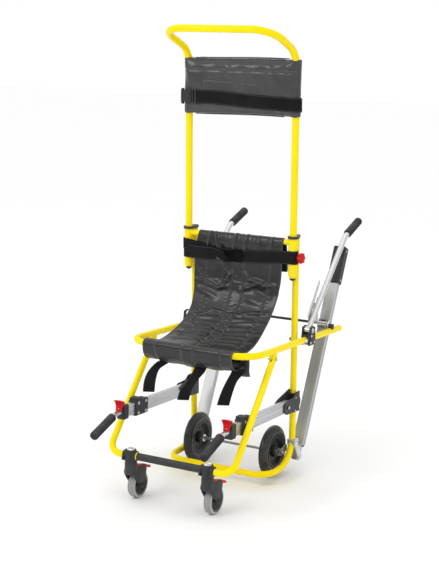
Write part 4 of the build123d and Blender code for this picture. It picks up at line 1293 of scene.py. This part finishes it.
def build_castor_disc():
    half = [(.0164, .006), (.0164, .0104), (.014, .0118), (.0086, .0136), (.008, .03), (.0112, .033),
        (.013, .0342), (.013, .0384)]
    disc = turned("disc", whole(half), castor_place, 56)
    outline = oblong(-.01, -.0011, .01, .0011)
    return joined("castor_disc_R", disc, *ribs_round(STEM_X, AXLE_SPOT, .0225, 6, 0, outline, .0215, .0006))


def ring_rubber(name, centre, bands, rough, grain=380.0, scuff=.16, dust=.25):
    """Tyre rubber whose tone changes with the distance from the axle; bands lists (radius, tone) outwards."""
    material, tree, shader = finish(name, IOR=1.5, Specular_IOR_Level=.4)
    where = add(tree, "TexCoord").outputs["Object"]
    flat = add(tree, "Mapping", {"Vector": where, "Location": (0, -centre[0], -centre[1]), "Scale": (0, 1, 1)})
    radius = add(tree, "VectorMath", {0: flat.outputs["Vector"]}, operation="LENGTH").outputs["Value"]
    colour = (*[bands[0][1]] * 3, 1)
    for (edge, tone), before in zip(bands[1:], bands):
        colour = blend_colour(tree, spread(tree, radius, edge - .0006, edge + .0006, 0, 1), colour,
            (*[tone] * 3, 1))
    worn = use(tree, "patina", {"Vector": where, "Scale": 18.0, "Rub": .5})
    dusty = use(tree, "dust", {"Vector": where, "Amount": dust})
    scuffed = times(tree, worn["Cloud"], scuff)
    colour = blend_colour(tree, scuffed, colour, (.3, .3, .29, 1))
    colour = blend_colour(tree, dusty["Mask"], colour, (.34, .33, .31, 1))
    grained = use(tree, "pebble", {"Vector": where, "Scale": grain})
    surface(tree, shader, colour, spread(tree, worn["Cloud"], 0, 1, rough, rough + .16), grained["Height"], .1)
    return material


fork_moulding = plastic_finish("fork_moulding", (.03, .03, .032, 1), (.048, .048, .051, 1), .44, 800.0, .12, .2)
castor_rubber = ring_rubber("castor_rubber", AXLE_SPOT, [(0, .08), (.0375, .12), (.0436, .58), (.0482, .3)], .5)
both_sides(build_fork(), fork_moulding, "castor_fork_{}", "castor_fork")
both_sides(build_bolt(), black_moulding, "castor_fork_{}", angle=30)
both_sides(build_castor_tyre(), castor_rubber, "castor_wheel_{}", "castor_tyre", 30)
both_sides(build_castor_disc(), fork_moulding, "castor_wheel_{}", "castor_disc", 30)
paint_nodes(red_moulding, "brake_pedal_right", "brake_pedal_left")

# ---- rear wheels ----
# Solid black tyres with a moulded side ring, deep-dished ribbed black rims and plated hub tubes, on one
# steel axle that lugs welded to the lower hoop carry.
WHEEL_SPOT = (.0429, .1)
REAR_WHEEL_X = .167
rear_place = stand((REAR_WHEEL_X, *WHEEL_SPOT), (1, 0, 0))


def build_rear_tyre():
    half = [(.014, .0636), (.016, .066), (.0172, .07), (.0174, .0722), (.0184, .0736), (.019, .076),
        (.019, .079), (.0183, .081), (.0172, .0826), (.016, .087), (.0138, .092), (.0108, .0957), (.0078, .098),
        (.0072, .0966), (.0056, .0968), (.005, .099)]
    return turned("rear_tyre_R", whole(half, (0, .1)), rear_place, 112, ring=True)


def build_rear_rim():
    half = [(.02, .0125), (.02, .02), (.018, .0214), (.007, .0235), (.006, .048), (.01, .0535), (.015, .056),
        (.0168, .0575), (.0176, .06), (.0176, .0645), (.0164, .0652)]
    rim = turned("rim", whole(half), rear_place, 96)
    outline = [(-.018, -.0016), (.0175, -.0012), (.0175, .0012), (-.018, .0016)]
    return joined("rear_rim_R", rim, *ribs_round(REAR_WHEEL_X, WHEEL_SPOT, .038, 10, .5, outline, .0155, .0007))


def build_rear_hub():
    half = [(.0308, .006), (.0308, .0122), (.0296, .014), (.025, .0142), (.024, .012), (.0196, .012),
        (.019, .015)]
    return turned("rear_hub_R", whole(half), rear_place, 40)


tyre_rubber = ring_rubber("tyre_rubber", WHEEL_SPOT, [(0, .018), (.074, .03), (.0812, .017), (.0955, .024)],
    .26, 260.0, .04, .1)
rim_moulding = plastic_finish("rim_moulding", (.008, .008, .009, 1), (.015, .015, .016, 1), .26, 700.0, .05, .2)
both_sides(build_rear_tyre(), tyre_rubber, "rear_wheel_{}", "rear_tyre", 30)
both_sides(build_rear_rim(), rim_moulding, "rear_wheel_{}", "rear_rim", 30)
both_sides(build_rear_hub(), cap_steel, "rear_wheel_{}")


def build_axle():
    """Rod with spacer collars inside the wheels and a nut at each end."""
    rod = turned("rod", whole([(.209, .004), (.208, .005)]), stand((0, *WHEEL_SPOT), (1, 0, 0)), 28)
    ends = []
    for out in (-1, 1):
        at = stand((out * .2086, *WHEEL_SPOT), (out, 0, 0), (0, 0, 1))
        ends.append(turned("nut", [(0.0, .009), (.005, .009), (.0062, .0078), (.0062, .005), (.0086, .0046),
            (.0086, .0004)], at, 6))
        inner = stand((out * .134, *WHEEL_SPOT), (out, 0, 0), (0, 0, 1))
        ends.append(turned("collar", [(-.008, .007), (-.0072, .008), (.0012, .008), (.0018, .007)], inner, 28))
    return joined("axle", rod, *ends)


dress(build_axle(), dark_steel, "back_frame", ["rear_axle"], 35)
lug_outline = arc(WHEEL_SPOT, .0145, 200, 100, 8) + [(.072, .119), (.09, .119), (.0925, .096),
    (.074, .09)] + arc(WHEEL_SPOT, .0145, 300, 210, 7)
lugs = [slab("lug", lug_outline, .0042, side_view(side * .205), .0012, 3) for side in (1, -1)]
dress(joined("axle_lugs", *lugs), dark_steel, "back_frame", smooth_angle=35)

# ---- stair skid ----
# Two extruded rails hinged in plated forks on the hoop's bends, each with a rubber glide strip behind
# and a moulded end cover, tied by a black rod between plated collars with slotted release levers.
RAIL_LEAN = math.radians(26.6)
RAIL_RUN = (0, math.sin(RAIL_LEAN), math.cos(RAIL_LEAN))
RAIL_FOOT = Vector((.225, .1389, .06))
rail_alloy = metal_finish("rail_alloy", (.5, .51, .52, 1), (.62, .63, .64, 1), RAIL_RUN, .46, 500.0, .02, 0.0)
fork_alloy = metal_finish("fork_alloy", (.62, .63, .64, 1), (.74, .75, .76, 1), RAIL_RUN, .4, 400.0, .02, 0.0)
strip_rubber = rubber_finish("strip_rubber", (.02, .02, .021, 1), (.04, .04, .041, 1), 420.0, .2)
paint_nodes(rail_alloy, "skid_rails")
paint_nodes(strip_rubber, "skid_strips")
paint_nodes(black_moulding, "rail_covers")
paint_nodes(fork_alloy, "skid_brackets")
paint_nodes(bright_steel, "tie_rod")


def at_rail(distance, forward, outward=0.0):
    """A point on the right rail: distance up it from its pivot, forward of its middle plane, outward in X."""
    run = Vector(RAIL_RUN)
    ahead = Vector((0, -run.z, run.y))
    return RAIL_FOOT + run * distance + ahead * forward + Vector((outward, 0, 0))


def build_pivot():
    """Domed bolt head outside the fork, lock nut inside, and a thrust washer on each cheek."""
    fresh = []
    dome = [(.0014, .009), (.0034, .0088), (.0052, .0074), (.006, .005), (.0062, .0006)]
    nut = [(.0014, .0092), (.007, .0092), (.0078, .0082), (.0078, .0056), (.0088, .0052), (.0088, .0006)]
    for out, profile, sides in ((1, dome, 32), (-1, nut, 6)):
        at = stand(RAIL_FOOT + Vector((out * .0162, 0, 0)), (out, 0, 0), (0, 0, 1))
        fresh.append(turned("washer", [(-.0002, .0118), (.0012, .0118), (.0015, .011)], at, 36))
        fresh.append(turned("head", profile, at, sides))
    for out in (-1, 1):
        spot = (RAIL_FOOT.x + out * .0162, .106, .13)
        fresh.append(cap_screw("fork_screw", spot, (out, 0, 0), .0052, .0042))
    return joined("skid_pivot_R", *fresh)


both_sides(build_pivot(), bright_steel, "back_frame")

TIE_AT = .538  # along the rail, from its pivot
TIE = at_rail(TIE_AT, .0225)
rod_sleeve = turned("rod_sleeve", whole([(.1995, .0046), (.199, .0054)]),
    Matrix.Translation((0, TIE.y, TIE.z)) @ LYING, 28)
dress(rod_sleeve, black_moulding, "skid", smooth_angle=35)


def build_rail_trim():
    """Cover ribs and screws, and cap screws on the rod's saddle."""
    fresh = []
    for step in range(5):
        at = stand(at_rail(.735 + step * .024, .0205), RAIL_RUN, (1, 0, 0))
        fresh.append(slab("rib", oblong(-.019, -.0012, .019, .0012), .006, at, .0009))
    dark = joined("cover_ribs_R", *fresh)
    bright = [cap_screw("cover_screw", at_rail(distance, 0, .0258), (1, 0, 0), .004, .0024, washer=False)
        for distance in (.728, .852)]
    bright += [cap_screw("saddle_screw", at_rail(TIE_AT + shift, .0218, out), (0, -RAIL_RUN[2], RAIL_RUN[1]),
        .0036, .0026, washer=False) for shift in (-.013, .013) for out in (-.013, .013)]
    return dark, joined("rail_screws_R", *bright)


cover_ribs, rail_screws = build_rail_trim()
both_sides(cover_ribs, black_moulding, "skid")
both_sides(rail_screws, bright_steel, "skid")

# ---- rear lifting handles ----
# Plated tubes bent back at the top, hinged between black moulded brackets on the seat arms, with
# ribbed rubber grips and long pointed sheet-steel levers that release them.
LIFT_X, EAR = .264, .0185  # the handle's plane, and a bracket ear's face from it
LIFT_BEND, LIFT_TIP = Vector((LIFT_X, .4719, .892)), Vector((LIFT_X, .6059, .937))
lift_run = (LIFT_TIP - LIFT_BEND).normalized()
lift_start = LIFT_BEND + lift_run * .022
lift_grip = turned("lift_grip_R", grip_profile((LIFT_TIP - lift_start).length + .0038, .0165, 8),
    stand(lift_start, lift_run))
lift_alloy = metal_finish("lift_alloy", (.6, .61, .62, 1), (.76, .77, .78, 1), (0, .332, .316), .24, 1100.0,
    .04, 0.0)
lever_steel = metal_finish("lever_steel", (.66, .66, .67, 1), (.8, .8, .81, 1), (0, .6, .8), .34, 600.0, .03,
    0.0)


def build_bracket_trim():
    """Pivot bolt, clamp screws and a raised panel on each ear of the right bracket."""
    bright, dark = [], []
    pivot = Vector((LIFT_X, .1399, .576))
    for out in (-1, 1):
        bright.append(cap_screw("pivot_bolt", pivot + Vector((out * EAR, 0, 0)), (out, 0, 0), .0072, .0045))
        for y, z in ((.125, .53), (.157, .527), (.132, .556)):
            bright.append(cap_screw("ear_screw", (LIFT_X + out * EAR, y, z), (out, 0, 0), .0036, .0028))
        edge = [(.119, .524), (.163, .521), (.16, .579), (.146, .586), (.129, .584)]
        dark.append(slab("panel", edge, .0014, side_view(LIFT_X + out * .0187), .0006))
    return joined("bracket_screws_R", *bright), joined("bracket_panels_R", *dark)


trim_screws, trim_panels = build_bracket_trim()
both_sides(lift_grip, grip_rubber, "lift_handle_{}", "lift_grip", 40)
both_sides(trim_screws, bright_steel, "seat_frame")
both_sides(trim_panels, black_moulding, "seat_frame")
paint_nodes(lift_alloy, "lift_handle_right", "lift_handle_left")


def build_lever(name, outline, slot, inner, reach, long_sides):
    """A folded channel: a slotted web with a flange along each of two sides, counted round the outline."""
    web = slab(name, outline, .0024, side_view(inner), .0008)
    cut(web, slab("slot", slot, .02, side_view(inner), 0))
    folds = []
    for side in long_sides:
        a, b = outline[side], outline[(side + 1) % len(outline)]
        run = Vector((b[0] - a[0], b[1] - a[1]))
        half = Vector((-run.y, run.x)).normalized() * .0011
        corners = ((a, 1), (b, 1), (b, -1), (a, -1))
        strip = [(end[0] + way * half.x, end[1] + way * half.y) for end, way in corners]
        folds.append(slab("flange", strip, reach, side_view(inner - reach / 2), .0007))
    return joined(name, web, *folds)


lift_outline = [(.1609, .622), (.1639, .603), (.1799, .61), (.2659, .738), (.2579, .752), (.2439, .732)]
lift_slot = [(.206, .668), (.217, .664), (.244, .702), (.236, .708)]
skid_outline = [(-.0075, -.004), (.0075, -.004), (.014, .06), (.004, .108), (-.012, .084), (-.01, .02)]
skid_slot = [(-.0035, .03), (.0045, .03), (.006, .07), (-.003, .074)]
skid_outline, skid_slot = ([(TIE.y + y, TIE.z + z) for y, z in points] for points in (skid_outline, skid_slot))
lift_lever = build_lever("lift_lever_R", lift_outline, lift_slot, .2515, .003, (2, 5))
skid_lever = build_lever("skid_lever_R", skid_outline, skid_slot, .1985, .011, (1, 4))
both_sides(lift_lever, lever_steel, "lift_lever_{}", "lift_lever")
both_sides(skid_lever, lever_steel, "skid_lever_{}", "skid_lever")

# ---- weld pads and seat flap ----
# A knuckle welded under each arm carries the leg's top bolt and closes the gap; a double-stitched flap
# of the seat cover hangs past the open end of the front roll.
ARM_X, ARM_SLOPE = .26, math.radians(3.8)
pad_outline = even([(.0118, -.017), (.014, -.008), (.0165, .001), (.012, .0042)])
pad_place = Matrix.Translation((0, -.1491, .5455)) @ Matrix.Rotation(-ARM_SLOPE, 4, "X")
pads = [slab("pad", pad_outline, .0215, pad_place @ side_view(side * ARM_X), .003, 3) for side in (1, -1)]
dress(joined("weld_pads", *pads), yellow_coat, "seat_frame", smooth_angle=45)

FLAP_WIDTH, FLAP_DROP = .04, .082


def flap_place(across, along):
    x = .176 + FLAP_WIDTH * across
    z = .556 - FLAP_DROP * along + .004 * across
    y = -.262 + .02 * along - .006 * np.sin(across * 2.6) * along + .004 * np.sin(along * 6)
    return np.c_[x, y, z]


flap, flap_across, flap_along = grid_sheet("seat_flap", 14, 18, flap_place)
lay_uv(flap, flap_across * FLAP_WIDTH, flap_along * FLAP_DROP)
apply(flap, "SOLIDIFY", thickness=.0026, offset=0)
flap_vinyl = vinyl_finish("flap_vinyl", (.004, .0085, .036), (.05, .076), tone=(.03, .03, .032, 1),
    light=(.045, .045, .048, 1))
dress(flap, flap_vinyl, "seat_frame", smooth_angle=50)
